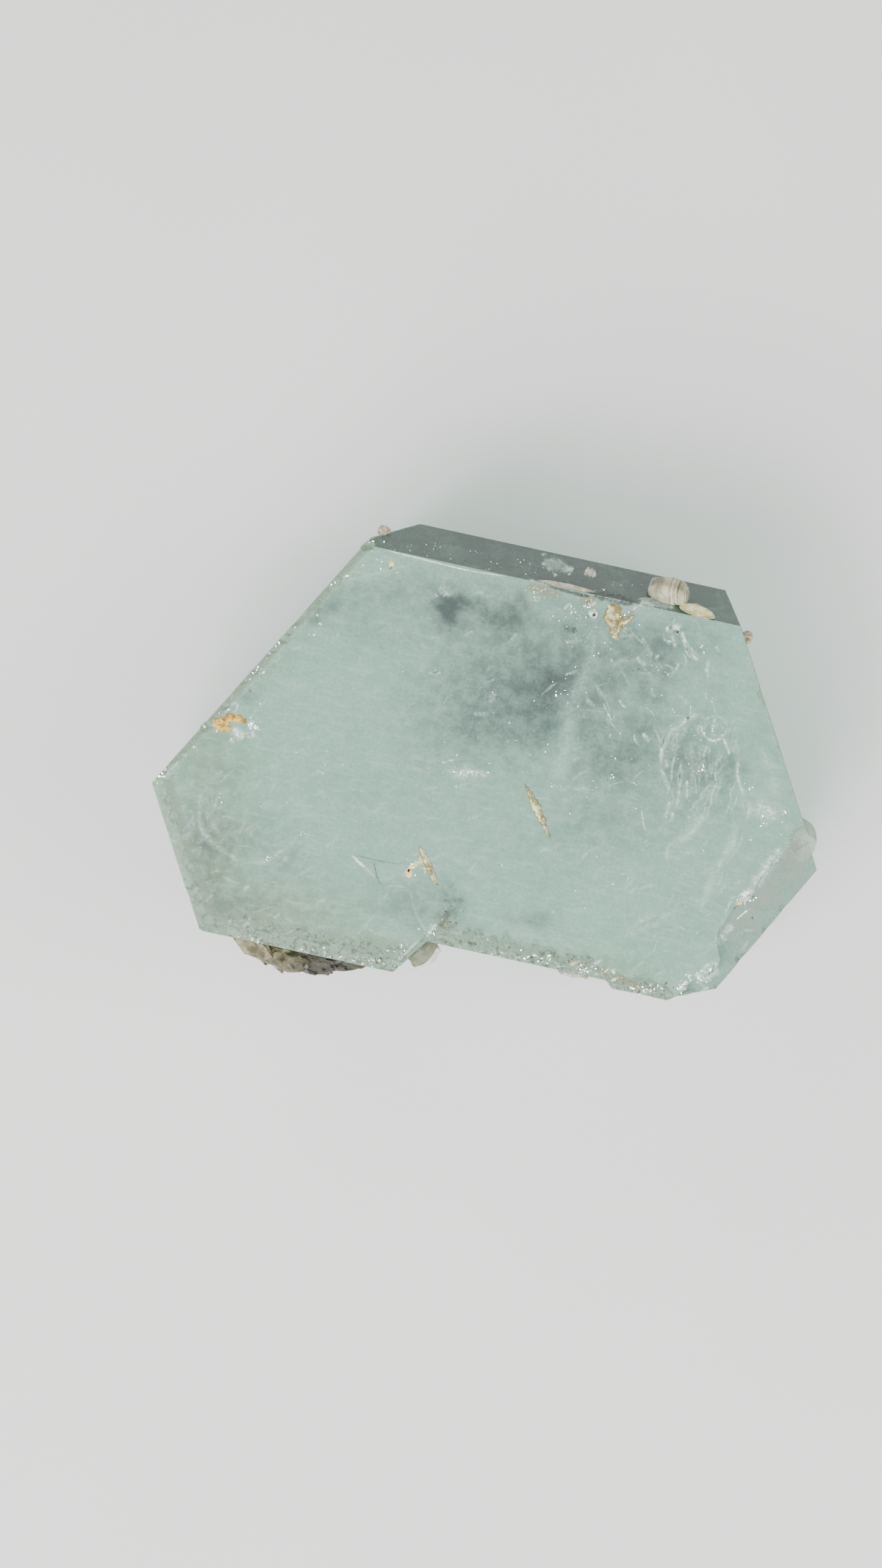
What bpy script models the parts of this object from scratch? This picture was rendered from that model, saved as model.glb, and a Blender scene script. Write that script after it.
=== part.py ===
"""Aquamarine crystal: one short six-sided beryl crystal, with two smaller crystals grown onto its south side
in the same direction, lying on its broken base. Mica books and feldspar grains sit on it and in it.

Frame: +Z is the crystal's own c axis and points out of its large flat end. +Y points out of the bevelled
north side and +X runs along the crystal's length. The origin is in the middle of the base. Lengths are in
metres, and angles in degrees.
"""

import math

import bmesh
import bpy
from mathutils import Matrix, Vector

MM = 0.001

# Driving dimensions of the crystal
HEIGHT = 26.0 * MM
GAP = 0.2 * MM
PYRAMID = 29.95
STEEP_PYRAMID = 49.05
PRISM = 90.0
SPARE = 4.0 * MM
BLOCK = 200.0 * MM

NORTH_RIM = 19.6 * MM
CLUSTER_WALL = 20.45 * MM
SOUTH_WALL = 16.8 * MM
NOTCH_COMPASS = 325
NOTCH_WALL = 7.15 * MM
CORNER_WALL = 26.1 * MM
EAST_WALL = 27.4 * MM

# Each face is its compass direction, its slope from the end face, and how far from the c axis it meets the
# end face's level
MAIN_FACES = [
    (90, PRISM, 23.0 * MM),
    (120, PRISM, CORNER_WALL),
    (150.5, PRISM, 24.6 * MM),
    (210, PRISM, 31.8 * MM),
    (270, PRISM, SOUTH_WALL),
    (292, PRISM, 23.85 * MM),
    (332, PRISM, 29.85 * MM),
    (30, PRISM, EAST_WALL),
    (90, STEEP_PYRAMID, NORTH_RIM),
    (120, STEEP_PYRAMID, 25.35 * MM),
    (150.5, PYRAMID, 24.2 * MM),
    (210, PYRAMID, 30.7 * MM),
    (270, PYRAMID, 16.1 * MM),
    (30, PYRAMID, 27.15 * MM),
]
SOUTH_WEST_FACES = [
    (90, PRISM, -12.0 * MM),
    (210, PRISM, 31.75 * MM),
    (270, PRISM, CLUSTER_WALL),
    (NOTCH_COMPASS, PRISM, NOTCH_WALL),
    (210, PYRAMID, 30.6 * MM),
    (270, PYRAMID, 19.2 * MM),
]
SOUTH_EAST_FACES = [
    (90, PRISM, -12.0 * MM),
    (223, PRISM, 0.55 * MM),
    (270, PRISM, 17.45 * MM),
    (305, PRISM, 26.35 * MM),
    (330, PRISM, 28.2 * MM),
    (270, PYRAMID, 16.9 * MM),
]

# The rounded lip beside the broken east corner
LIP_CENTRE = (30.35 * MM, 0.75 * MM, 24.3 * MM)
LIP_RADII = (1.5 * MM, 1.75 * MM, 1.5 * MM)

# The broken shelf along the south-east side: points of its inner rim, as distance along the face from its
# middle and distance out from the c axis. It steps down at the rim and then slopes outwards.
SHELF_DIRECTION = 330
SHELF_RIM = [
    (17.0 * MM, 27.6 * MM),
    (14.8 * MM, 26.1 * MM),
    (13.1 * MM, 25.3 * MM),
    (10.4 * MM, 25.9 * MM),
    (7.0 * MM, 25.7 * MM),
    (4.5 * MM, 26.1 * MM),
    (2.6 * MM, 27.2 * MM),
    (0.5 * MM, 28.3 * MM),
    (-1.2 * MM, 27.5 * MM),
    (-4.0 * MM, 27.3 * MM),
]
SHELF_OUT = 34.0 * MM
SHELF_START = 25.3 * MM
SHELF_STEP = 0.45 * MM
SHELF_SLOPE = 0.42

# Flat breaks round the base: direction, slope, and how far from the c axis each one meets the ground
BASE_BREAKS = [
    (345, 33.0, 24.5 * MM),
    (205, 27.0, 26.5 * MM),
    (85, 41.0, 19.0 * MM),
    (262, 24.0, 14.5 * MM),
    (140, 52.0, 23.0 * MM),
]

# Shell-shaped breaks: the centre and the radius of the ball that each one is the print of
BASE_SCOOPS = [
    ((-13.0 * MM, 24.5 * MM, -3.5 * MM), 9.0 * MM),
    ((9.0 * MM, -21.5 * MM, -3.0 * MM), 8.0 * MM),
    ((31.5 * MM, 8.0 * MM, 0.5 * MM), 6.5 * MM),
    ((-31.0 * MM, -15.0 * MM, 1.0 * MM), 6.0 * MM),
    ((14.0 * MM, 26.0 * MM, 0.0 * MM), 6.5 * MM),
]
EDGE_CHIPS = [
    ((-31.6 * MM, -5.2 * MM, 27.2 * MM), 2.1 * MM),
    ((-27.6 * MM, 2.3 * MM, 27.0 * MM), 1.7 * MM),
    ((-22.3 * MM, 11.4 * MM, 26.9 * MM), 1.5 * MM),
    ((-19.9 * MM, 15.6 * MM, 27.0 * MM), 1.5 * MM),
    ((24.2 * MM, 13.6 * MM, 26.9 * MM), 1.3 * MM),
    ((-21.6 * MM, -20.9 * MM, 26.6 * MM), 1.6 * MM),
    ((-11.0 * MM, -21.2 * MM, 26.4 * MM), 1.7 * MM),
    ((3.5 * MM, -17.6 * MM, 26.6 * MM), 1.4 * MM),
    ((9.4 * MM, -17.5 * MM, 26.7 * MM), 1.5 * MM),
    ((18.6 * MM, -18.3 * MM, 26.5 * MM), 1.6 * MM),
    ((29.9 * MM, -7.4 * MM, 22.6 * MM), 1.5 * MM),
    ((26.9 * MM, -12.6 * MM, 22.4 * MM), 1.6 * MM),
]

# Mica blades sunk in the end face: centre, direction, length, width and depth
WEDGE = ((8.3 * MM, 17.2 * MM), -74.0, 3.2 * MM, 1.25 * MM, 2.2 * MM)
CENTRE_BLADE = ((4.8 * MM, -2.1 * MM), -53.0, 5.8 * MM, 0.75 * MM, 2.6 * MM)
LOWER_BLADE = ((-4.5 * MM, -9.7 * MM), -54.0, 4.1 * MM, 0.7 * MM, 2.2 * MM)
BLADE_SINK = 0.04 * MM
BLADE_FOOT = 0.55

# Mica slivers that lie along a rim: centre on the face, direction, length, width and thickness
EDGE_BLADE = (15.6 * MM, 0.75 * MM, -12.0, 3.3 * MM, 1.1 * MM, 0.45 * MM)
EDGE_SLIVER = (2.9 * MM, 0.25 * MM, -1.0, 5.6 * MM, 0.75 * MM, 0.35 * MM)

# The mica book on the bevelled north side: its place on the face, its half width and its thickness
NORTH_BOOK_PLACE = (12.9 * MM, 2.35 * MM)
NORTH_BOOK_RADIUS = 1.95 * MM
NORTH_BOOK_THICKNESS = 1.7 * MM
NORTH_BOOK_LEAN = 24.0
NORTH_BOOK_LIFT = 0.25 * MM
NORTH_BOOK_SHEETS = 6

# The mica plate that stands in the notch between the two crystals
NOTCH_PLATE_CENTRE = (-2.75 * MM, -18.35 * MM, 23.9 * MM)
NOTCH_PLATE_LENGTH = 3.4 * MM
NOTCH_PLATE_WIDTH = 2.6 * MM
NOTCH_PLATE_THICKNESS = 0.9 * MM

# The mica cluster under the south-west rim: its matrix lump and its books, each with centre, radius,
# thickness and the direction and lean of its flat side
CLUSTER_LUMP_CENTRE = (-15.3 * MM, -20.4 * MM, 19.8 * MM)
CLUSTER_LUMP_RADII = (5.6 * MM, 2.3 * MM, 4.3 * MM)
CLUSTER_BOOKS = [
    ((-19.4 * MM, -20.9 * MM, 22.8 * MM), 2.5 * MM, 1.0 * MM, 250, 58),
    ((-15.9 * MM, -21.5 * MM, 22.6 * MM), 2.3 * MM, 1.2 * MM, 280, 42),
    ((-12.6 * MM, -21.3 * MM, 21.4 * MM), 2.0 * MM, 1.0 * MM, 312, 50),
    ((-17.6 * MM, -21.7 * MM, 19.2 * MM), 2.0 * MM, 1.2 * MM, 230, 75),
    ((-14.3 * MM, -21.3 * MM, 17.6 * MM), 2.2 * MM, 1.1 * MM, 300, 82),
    ((-9.9 * MM, -20.6 * MM, 21.9 * MM), 1.5 * MM, 0.8 * MM, 265, 60),
]

SOUTH_SLIVER = (11.6 * MM, 23.9 * MM, 8.0, 3.0 * MM, 1.9 * MM, 0.45 * MM)

# Feldspar grains: centre and half sizes
WEST_GRAIN = ((-26.2 * MM, -0.1 * MM, 25.75 * MM), (1.4 * MM, 0.8 * MM, 0.75 * MM))
GRAIN_SINK = 0.05 * MM
CORNER_GRAIN = ((-15.6 * MM, 21.5 * MM, 24.0 * MM), (0.55 * MM, 0.5 * MM, 0.6 * MM))
EAST_GRAIN = ((21.2 * MM, 18.75 * MM, 24.6 * MM), (0.75 * MM, 0.7 * MM, 0.95 * MM))

# Finishes: colour, roughness, metallic and transmission
AQUAMARINE = ("aquamarine", (0.42, 0.56, 0.52), 0.08, 0.0, 0.75)
MUSCOVITE = ("muscovite", (0.50, 0.47, 0.38), 0.25, 0.0, 0.0)
IRON_STAINED = ("iron_stained_feldspar", (0.70, 0.44, 0.16), 0.7, 0.0, 0.0)
FELDSPAR = ("feldspar", (0.62, 0.52, 0.42), 0.65, 0.0, 0.0)


def clear_scene():
    """Starts from an empty scene."""
    for thing in list(bpy.data.objects):
        bpy.data.objects.remove(thing)


def material(finish):
    """The named finish as a Principled BSDF."""
    name, colour, roughness, metallic, transmission = finish
    found = bpy.data.materials.get(name)
    if found:
        return found
    made = bpy.data.materials.new(name)
    made.use_nodes = True
    shader = made.node_tree.nodes["Principled BSDF"]
    shader.inputs["Base Color"].default_value = (*colour, 1.0)
    shader.inputs["Roughness"].default_value = roughness
    shader.inputs["Metallic"].default_value = metallic
    shader.inputs["Transmission Weight"].default_value = transmission
    return made


def object_from(name, shape, finish=None):
    """Links a bmesh to the scene as a named object. Without a finish it is a cutter or a part of a union."""
    bmesh.ops.recalc_face_normals(shape, faces=shape.faces)
    mesh = bpy.data.meshes.new(name)
    shape.to_mesh(mesh)
    shape.free()
    thing = bpy.data.objects.new(name, mesh)
    bpy.context.scene.collection.objects.link(thing)
    if finish:
        mesh.materials.append(material(finish))
    else:
        thing.hide_render = True
        thing.display_type = "WIRE"
    return thing


def direction(compass, slope=90.0):
    """The outward normal of a face with this compass direction and this slope from level."""
    turn, lean = math.radians(compass), math.radians(slope)
    return Vector((math.sin(lean) * math.cos(turn), math.sin(lean) * math.sin(turn), math.cos(lean)))


def trim(shape, point, normal):
    """Cuts away what lies in front of a plane and closes the cut."""
    geometry = shape.verts[:] + shape.edges[:] + shape.faces[:]
    cut = bmesh.ops.bisect_plane(shape, geom=geometry, plane_co=point, plane_no=normal, clear_outer=True)
    rim = [part for part in cut["geom_cut"] if isinstance(part, bmesh.types.BMEdge)]
    if rim:
        bmesh.ops.edgenet_fill(shape, edges=rim)


def box(centre, size):
    """A box as a bmesh."""
    shape = bmesh.new()
    place = Matrix.LocRotScale(Vector(centre), None, Vector(size))
    bmesh.ops.create_cube(shape, size=1.0, matrix=place)
    return shape


def crystal_block(faces):
    """One crystal as the space behind all its faces. It runs past both ends, which are cut later."""
    shape = box((0, 0, HEIGHT / 2), (BLOCK, BLOCK, HEIGHT + 2 * SPARE))
    for compass, slope, distance in faces:
        edge = direction(compass) * distance + Vector((0, 0, HEIGHT))
        trim(shape, edge, direction(compass, slope))
    return shape


def ball(centre, radii, detail=3):
    """A round or drawn-out ball as a bmesh."""
    shape = bmesh.new()
    place = Matrix.LocRotScale(Vector(centre), None, Vector(radii))
    bmesh.ops.create_icosphere(shape, subdivisions=detail, radius=1.0, matrix=place)
    return shape


def half_space(point, normal):
    """A large block whose near face lies on a plane, for cutting away what is in front of it."""
    turn = Vector((0, 0, 1)).rotation_difference(normal)
    place = Matrix.LocRotScale(Vector(point) + normal * (BLOCK / 2), turn, None)
    shape = bmesh.new()
    bmesh.ops.create_cube(shape, size=BLOCK, matrix=place)
    return shape


def shelf_cutter():
    """The piece that broke off along the south-east side: a rim seen from above, over a sloping floor."""
    outward, along = direction(SHELF_DIRECTION), direction(SHELF_DIRECTION + 90)
    first, last = SHELF_RIM[0][0], SHELF_RIM[-1][0]
    plan = SHELF_RIM + [(last, SHELF_OUT), (first, SHELF_OUT)]
    shape = bmesh.new()
    floor, lid = [], []
    for sideways, out in plan:
        foot = outward * out + along * sideways
        depth = SHELF_STEP + SHELF_SLOPE * (out - SHELF_START)
        floor.append(shape.verts.new(foot + Vector((0, 0, HEIGHT - depth))))
        lid.append(shape.verts.new(foot + Vector((0, 0, HEIGHT + SPARE))))
    shape.faces.new(floor)
    shape.faces.new(lid)
    for i in range(len(plan)):
        j = (i + 1) % len(plan)
        shape.faces.new((floor[i], floor[j], lid[j], lid[i]))
    return shape


def lens(centre, compass, length, width, low, high, spread=0.0, head=1.0):
    """An upright blade that is pointed at both ends and narrower at its foot. spread makes it longer and
    wider all round, and head is how wide it is at the top."""
    steps = 8
    half_length, half_width = length / 2 + spread, width / 2 + spread
    turn = Matrix.Rotation(math.radians(compass), 3, "Z")
    shape = bmesh.new()
    rings = []
    for level, narrowing in ((low, BLADE_FOOT), (high, head)):
        ring = []
        for step in range(2 * steps):
            angle = math.pi * step / steps
            side = math.copysign(abs(math.sin(angle)) ** 1.3, math.sin(angle))
            flat = turn @ Vector((half_length * math.cos(angle), half_width * side * narrowing, 0))
            ring.append(shape.verts.new(flat + Vector((centre[0], centre[1], level))))
        rings.append(ring)
    shape.faces.new(rings[0])
    shape.faces.new(rings[1])
    for i in range(2 * steps):
        j = (i + 1) % (2 * steps)
        shape.faces.new((rings[0][i], rings[0][j], rings[1][j], rings[1][i]))
    return shape


def sunk_blade(place):
    """A mica blade sunk in the end face."""
    centre, compass, length, width, depth = place
    return lens(centre, compass, length, width, HEIGHT - depth, HEIGHT - BLADE_SINK)


def blade_pocket(place):
    """The room that a sunk blade needs in the crystal."""
    centre, compass, length, width, depth = place
    head = 1.0 + (1.0 - BLADE_FOOT) * SPARE / depth
    return lens(centre, compass, length, width, HEIGHT - depth - GAP, HEIGHT + SPARE, GAP, head)


def book(radius, thickness, sheets, seed, squash=0.85):
    """A mica book: six-sided sheets of slightly different size in one pile, with its middle at the origin."""
    around = 24
    shape = bmesh.new()
    rings = []
    for sheet in range(sheets):
        share = 1.0 - 0.07 * (1 + math.sin(2.4 * sheet + seed))
        shift = 0.05 * radius * math.sin(1.7 * sheet + 2 * seed)
        for level in (sheet, sheet + 1):
            ring = []
            for step in range(around):
                angle = 2 * math.pi * step / around
                wave = 1 + 0.05 * math.cos(6 * angle + 0.4 * seed) + 0.04 * math.sin(2 * angle + seed)
                x = radius * share * wave * math.cos(angle) + shift
                y = radius * share * wave * squash * math.sin(angle)
                ring.append(shape.verts.new((x, y, thickness * (level / sheets - 0.5))))
            rings.append(ring)
    shape.faces.new(rings[0])
    shape.faces.new(rings[-1])
    for lower, upper in zip(rings, rings[1:]):
        for i in range(around):
            j = (i + 1) % around
            shape.faces.new((lower[i], lower[j], upper[j], upper[i]))
    return shape


def laid(shape, centre, normal, twist=0.0):
    """Turns a shape's flat side to face along normal, and moves its middle to centre."""
    turn = Vector((0, 0, 1)).rotation_difference(normal).to_matrix()
    turn = turn @ Matrix.Rotation(math.radians(twist), 3, "Z")
    bmesh.ops.rotate(shape, verts=shape.verts, matrix=turn)
    bmesh.ops.translate(shape, verts=shape.verts, vec=Vector(centre))
    return shape


def rock_grain(centre, radii, seed):
    """A small angular grain: a ball whose corners are moved in and out."""
    shape = ball((0, 0, 0), (1, 1, 1), detail=2)
    for corner in shape.verts:
        x, y, z = corner.co
        corner.co *= 1 + 0.13 * math.sin(5 * x + seed) * math.cos(4 * y - seed) + 0.07 * math.sin(9 * z + seed)
    bmesh.ops.scale(shape, verts=shape.verts, vec=Vector(radii))
    bmesh.ops.translate(shape, verts=shape.verts, vec=Vector(centre))
    return shape


def collection(name, shapes):
    """Gathers shapes that one Boolean uses."""
    group = bpy.data.collections.new(name)
    bpy.context.scene.collection.children.link(group)
    for number, shape in enumerate(shapes):
        thing = object_from(f"{name}_{number}", shape)
        bpy.context.scene.collection.objects.unlink(thing)
        group.objects.link(thing)
    return group


def combine(thing, operation, group):
    """Adds an exact Boolean with every shape of a collection."""
    step = thing.modifiers.new(group.name, "BOOLEAN")
    step.operation = operation
    step.operand_type = "COLLECTION"
    step.collection = group
    step.solver = "EXACT"


def north_bevel_point(sideways, down, lift=0.0):
    """A point on the bevelled north side: sideways along it, down its slope from the rim, and lifted off it."""
    slope = math.radians(STEEP_PYRAMID)
    rim = Vector((sideways, NORTH_RIM, HEIGHT))
    downhill = Vector((0, math.cos(slope), -math.sin(slope)))
    return rim + downhill * down + direction(90, STEEP_PYRAMID) * lift


def build_crystal():
    """The three crystals that grew together, less all that is broken off and the room for what is sunk in."""
    crystal = object_from("aquamarine_crystal", crystal_block(MAIN_FACES), AQUAMARINE)
    grown = [crystal_block(SOUTH_WEST_FACES), crystal_block(SOUTH_EAST_FACES)]
    grown.append(ball(LIP_CENTRE, LIP_RADII))
    combine(crystal, "UNION", collection("grown_on", grown))
    broken = [
        half_space((0, 0, HEIGHT), Vector((0, 0, 1))),
        half_space((0, 0, 0), Vector((0, 0, -1))),
        shelf_cutter(),
    ]
    for compass, slope, distance in BASE_BREAKS:
        broken.append(half_space(direction(compass) * distance, direction(compass, 180 - slope)))
    for centre, radius in BASE_SCOOPS + EDGE_CHIPS:
        broken.append(ball(centre, (radius, radius, radius)))
    combine(crystal, "DIFFERENCE", collection("broken_off", broken))
    pockets = [blade_pocket(place) for place in (WEDGE, CENTRE_BLADE, LOWER_BLADE)]
    centre, radii = WEST_GRAIN
    pockets.append(rock_grain(centre, [radius + GAP for radius in radii], seed=1.0))
    combine(crystal, "DIFFERENCE", collection("pockets", pockets))


def build_sunk_mica():
    """The three mica blades that the crystal grew round."""
    for name, place in (
        ("mica_wedge_north", WEDGE),
        ("mica_blade_centre", CENTRE_BLADE),
        ("mica_blade_south", LOWER_BLADE),
    ):
        object_from(name, sunk_blade(place), MUSCOVITE)


def build_north_mica():
    """The mica book and the two slivers on the bevelled north side."""
    face = direction(90, STEEP_PYRAMID)
    resting = north_bevel_point(0, 0, GAP)
    lean = Matrix.Rotation(math.radians(-NORTH_BOOK_LEAN), 3, "Y")
    sideways, down = NORTH_BOOK_PLACE
    pile = laid(
        book(NORTH_BOOK_RADIUS, NORTH_BOOK_THICKNESS, NORTH_BOOK_SHEETS, seed=0.8, squash=0.92),
        north_bevel_point(sideways, down, NORTH_BOOK_LIFT),
        lean @ face,
        twist=10,
    )
    trim(pile, resting, -face)
    object_from("mica_book_north", pile, MUSCOVITE)
    for name, place in (("mica_blade_rim", EDGE_BLADE), ("mica_sliver_rim", EDGE_SLIVER)):
        sideways, down, turn, length, width, thickness = place
        blade = lens((0, 0), turn, length, width, 0.0, thickness)
        laid(blade, north_bevel_point(sideways, down, GAP), face)
        object_from(name, blade, MUSCOVITE)


def build_south_mica():
    """The plate in the notch, the cluster under the south-west rim and the sliver on the south side."""
    squash = NOTCH_PLATE_WIDTH / NOTCH_PLATE_LENGTH
    plate = book(NOTCH_PLATE_LENGTH / 2, NOTCH_PLATE_THICKNESS, 4, seed=2.1, squash=squash)
    laid(plate, NOTCH_PLATE_CENTRE, direction(322, 52), twist=55)
    trim(plate, direction(NOTCH_COMPASS) * (NOTCH_WALL + GAP), -direction(NOTCH_COMPASS))
    trim(plate, direction(270) * (SOUTH_WALL + GAP), -direction(270))
    object_from("mica_plate_notch", plate, MUSCOVITE)

    lump = rock_grain(CLUSTER_LUMP_CENTRE, CLUSTER_LUMP_RADII, seed=2.6)
    cluster = object_from("mica_cluster_south", lump, MUSCOVITE)
    books = [
        laid(book(radius, thickness, 4, seed=number), centre, direction(compass, lean), twist=25 * number)
        for number, (centre, radius, thickness, compass, lean) in enumerate(CLUSTER_BOOKS)
    ]
    combine(cluster, "UNION", collection("cluster_books", books))
    wall = half_space(direction(270) * (CLUSTER_WALL + GAP), -direction(270))
    combine(cluster, "DIFFERENCE", collection("cluster_wall", [wall]))

    sideways, height, turn, length, width, thickness = SOUTH_SLIVER
    sliver = lens((0, 0), turn, length, width, 0.0, thickness)
    laid(sliver, (sideways, -SOUTH_WALL - GAP, height), direction(270))
    object_from("mica_sliver_south", sliver, MUSCOVITE)


def build_feldspar():
    """Three grains of feldspar: one sunk in the end face, and one on each side of the north end."""
    centre, radii = WEST_GRAIN
    grain = rock_grain(centre, radii, seed=1.0)
    trim(grain, Vector((0, 0, HEIGHT - GRAIN_SINK)), Vector((0, 0, 1)))
    object_from("feldspar_grain_west", grain, IRON_STAINED)
    for name, (centre, radii), compass, distance, seed in (
        ("feldspar_grain_corner", CORNER_GRAIN, 120, CORNER_WALL, 3.0),
        ("feldspar_grain_east", EAST_GRAIN, 30, EAST_WALL, 5.0),
    ):
        grain = rock_grain(centre, radii, seed)
        trim(grain, direction(compass) * (distance + GAP), -direction(compass))
        object_from(name, grain, FELDSPAR)


clear_scene()
build_crystal()
build_sunk_mica()
build_north_mica()
build_south_mica()
build_feldspar()
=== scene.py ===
# %% [markdown]
# # An aquamarine crystal with mica
# The object is one short, wide crystal of aquamarine, the blue-green kind of beryl. It lies on its broken
# base, with its large flat end up. Mica books and grains of feldspar sit on it and in it. This lesson
# builds each of them as a surface worked out with numpy, and gives each one a procedural finish.

# %% The frame that every piece stands in
import math

import bpy
import numpy as np
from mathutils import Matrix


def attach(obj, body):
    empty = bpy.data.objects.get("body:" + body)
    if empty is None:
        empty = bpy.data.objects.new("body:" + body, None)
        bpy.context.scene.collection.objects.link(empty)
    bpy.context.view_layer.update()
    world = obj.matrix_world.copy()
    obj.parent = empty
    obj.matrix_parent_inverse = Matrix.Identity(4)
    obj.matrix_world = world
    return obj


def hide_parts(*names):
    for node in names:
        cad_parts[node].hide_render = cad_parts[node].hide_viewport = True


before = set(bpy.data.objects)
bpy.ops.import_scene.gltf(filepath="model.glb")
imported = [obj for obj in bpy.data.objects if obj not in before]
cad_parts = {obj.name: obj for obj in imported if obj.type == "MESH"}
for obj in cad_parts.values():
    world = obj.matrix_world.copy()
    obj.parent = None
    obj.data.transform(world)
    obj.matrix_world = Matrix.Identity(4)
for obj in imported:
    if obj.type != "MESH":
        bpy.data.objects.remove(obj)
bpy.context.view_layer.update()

MM = 0.001
# Height of the end face over the ground, and distance of the north rim from the c axis, in mm
HEIGHT, NORTH_RIM = 26.0, 19.6
print("pieces in the packed model:", len(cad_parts))

# %% [markdown]
# ## From the picture to the crystal
# The camera looks straight down on the flat end, so a place in the picture is a place on that face. The
# picture is turned by about 12 degrees against the crystal, and 14 of its pixels make a millimetre there.
# One small function does this for every marking below, so that each one can be given where it was seen.

# %% Where a pixel lies on the end face
TURN = math.radians(12.24)
PIXELS_PER_MM = 14.0
# Where the crystal's origin lies in the turned picture, and the size and middle of the picture, in pixels
ORIGIN_ACROSS, ORIGIN_UP = 881.35, -893.5
PICTURE_HEIGHT = 2133.0
PICTURE_MIDDLE = (600, PICTURE_HEIGHT / 2)


def on_face(pixels):
    """Turns each pixel back by the picture's turn, divides by the scale and moves the origin to the
    crystal's."""
    right, down = np.asarray(pixels, float).T
    across = right * math.cos(TURN) + down * math.sin(TURN)
    up = right * math.sin(TURN) - down * math.cos(TURN)
    return np.stack([(across - ORIGIN_ACROSS) / PIXELS_PER_MM, (up - ORIGIN_UP) / PIXELS_PER_MM], axis=-1)


print("middle of the picture on the face, in mm:", on_face([PICTURE_MIDDLE]).round(2)[0])

# %% [markdown]
# ## From arrays to an object
# Every piece here is a grid of points: its rows and columns are the two parameters of the surface. Quads
# join neighbouring points, and a fan of triangles closes each pole. The object stays at the origin, with
# its place in its mesh, so that patterns on Object coordinates stay put when the model is exported.

# %% Grids, frames and mesh objects


def grid_faces(rows, columns, first=0, closed=True):
    """Quads between neighbours of a grid whose point (row, column) has the index first + row * columns +
    column. A closed grid joins its last column to its first."""
    row = np.arange(rows - 1)[:, None]
    column = np.arange(columns if closed else columns - 1)[None, :]
    beside = (column + 1) % columns
    a, b = row * columns + column, (row + 1) * columns + column
    c, d = (row + 1) * columns + beside, row * columns + beside
    return (np.stack([a, b, c, d], axis=-1).reshape(-1, 4) + first).tolist()


def fan_faces(ring, columns, pole, outward=True):
    """Triangles from the pole point to each side of a ring that starts at the index ring."""
    column = np.arange(columns)
    one, two = ring + column, ring + (column + 1) % columns
    pair = (one, two) if outward else (two, one)
    return np.stack([np.full(columns, pole), *pair], axis=-1).tolist()


def piece_from(name, points, faces, finish, sharp=25.0, stands_for=(), attributes=None):
    """Puts points in millimetres and faces into a mesh object. It is smooth, except at edges that bend by
    more than sharp degrees. attributes holds one number a point under each name."""
    mesh = bpy.data.meshes.new(name)
    mesh.from_pydata((np.asarray(points) * MM).tolist(), [], faces)
    for label, values in (attributes or {}).items():
        store = mesh.attributes.new(label, "FLOAT", "POINT")
        store.data.foreach_set("value", np.asarray(values, dtype=np.float32))
    mesh.shade_smooth()
    mesh.set_sharp_from_angle(angle=math.radians(sharp))
    mesh.materials.append(finish)
    piece = bpy.data.objects.new(name, mesh)
    bpy.context.scene.collection.objects.link(piece)
    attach(piece, "root")
    if stands_for:
        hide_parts(*stands_for)
    print(name, "has", len(points), "points and", len(faces), "faces")
    return piece


def waves(points, size, seed, octaves=3):
    """Smooth noise between about -1 and 1: products of sines in three turned directions, at a wavelength of
    size millimetres and then at half of it, and so on."""
    rng = np.random.default_rng(seed)
    total, weight = 0.0, 0.0
    for octave in range(octaves):
        turned = points @ rng.normal(size=(3, 3)) * (2.2 * 2**octave / size) + rng.uniform(0, 6.28, 3)
        layer = np.sin(turned + np.sin(turned[..., [1, 2, 0]] * 1.3))
        total = total + layer.mean(axis=-1) / 1.6**octave
        weight += 0.5 / 1.6**octave
    return total / weight


def smooth(value, low, high):
    """0 below low, 1 above high, and an easy curve between."""
    share = np.clip((value - low) / (high - low), 0, 1)
    return share * share * (3 - 2 * share)


# %% [markdown]
# ## The faces of the crystal
# Beryl grows as a six-sided prism. Where the side faces meet the flat end, narrow pyramid faces cut the
# rim, and here one of them, on the north side, is broad. Two smaller crystals of the same direction are
# grown onto the south side and leave a notch between them. Each crystal is the space behind its own faces,
# so a level ray from the middle leaves it at the nearest face. The grown-together body ends where the
# farthest of the three ends.

# %% Face tables and the reach of a ray
PRISM, PYRAMID, STEEP = 90.0, 29.95, 49.05
NOTCH_COMPASS, NOTCH_WALL, SOUTH_WALL = 325, 7.15, 16.8
# Farther than any ray goes inside the crystal, in mm
ENDLESS = 1e3
MIDDLE = np.array([0.0, 1.0])
NORTH, CORNER, WEST, SOUTH_WEST, LOBE, NOTCH = 1, 2, 3, 4, 5, 6
SOUTH, NOTCH_EAST, SOUTH_EAST, EAST_CORNER, LOW_EAST, SHELF, EAST = 7, 8, 9, 10, 11, 12, 13

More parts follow.
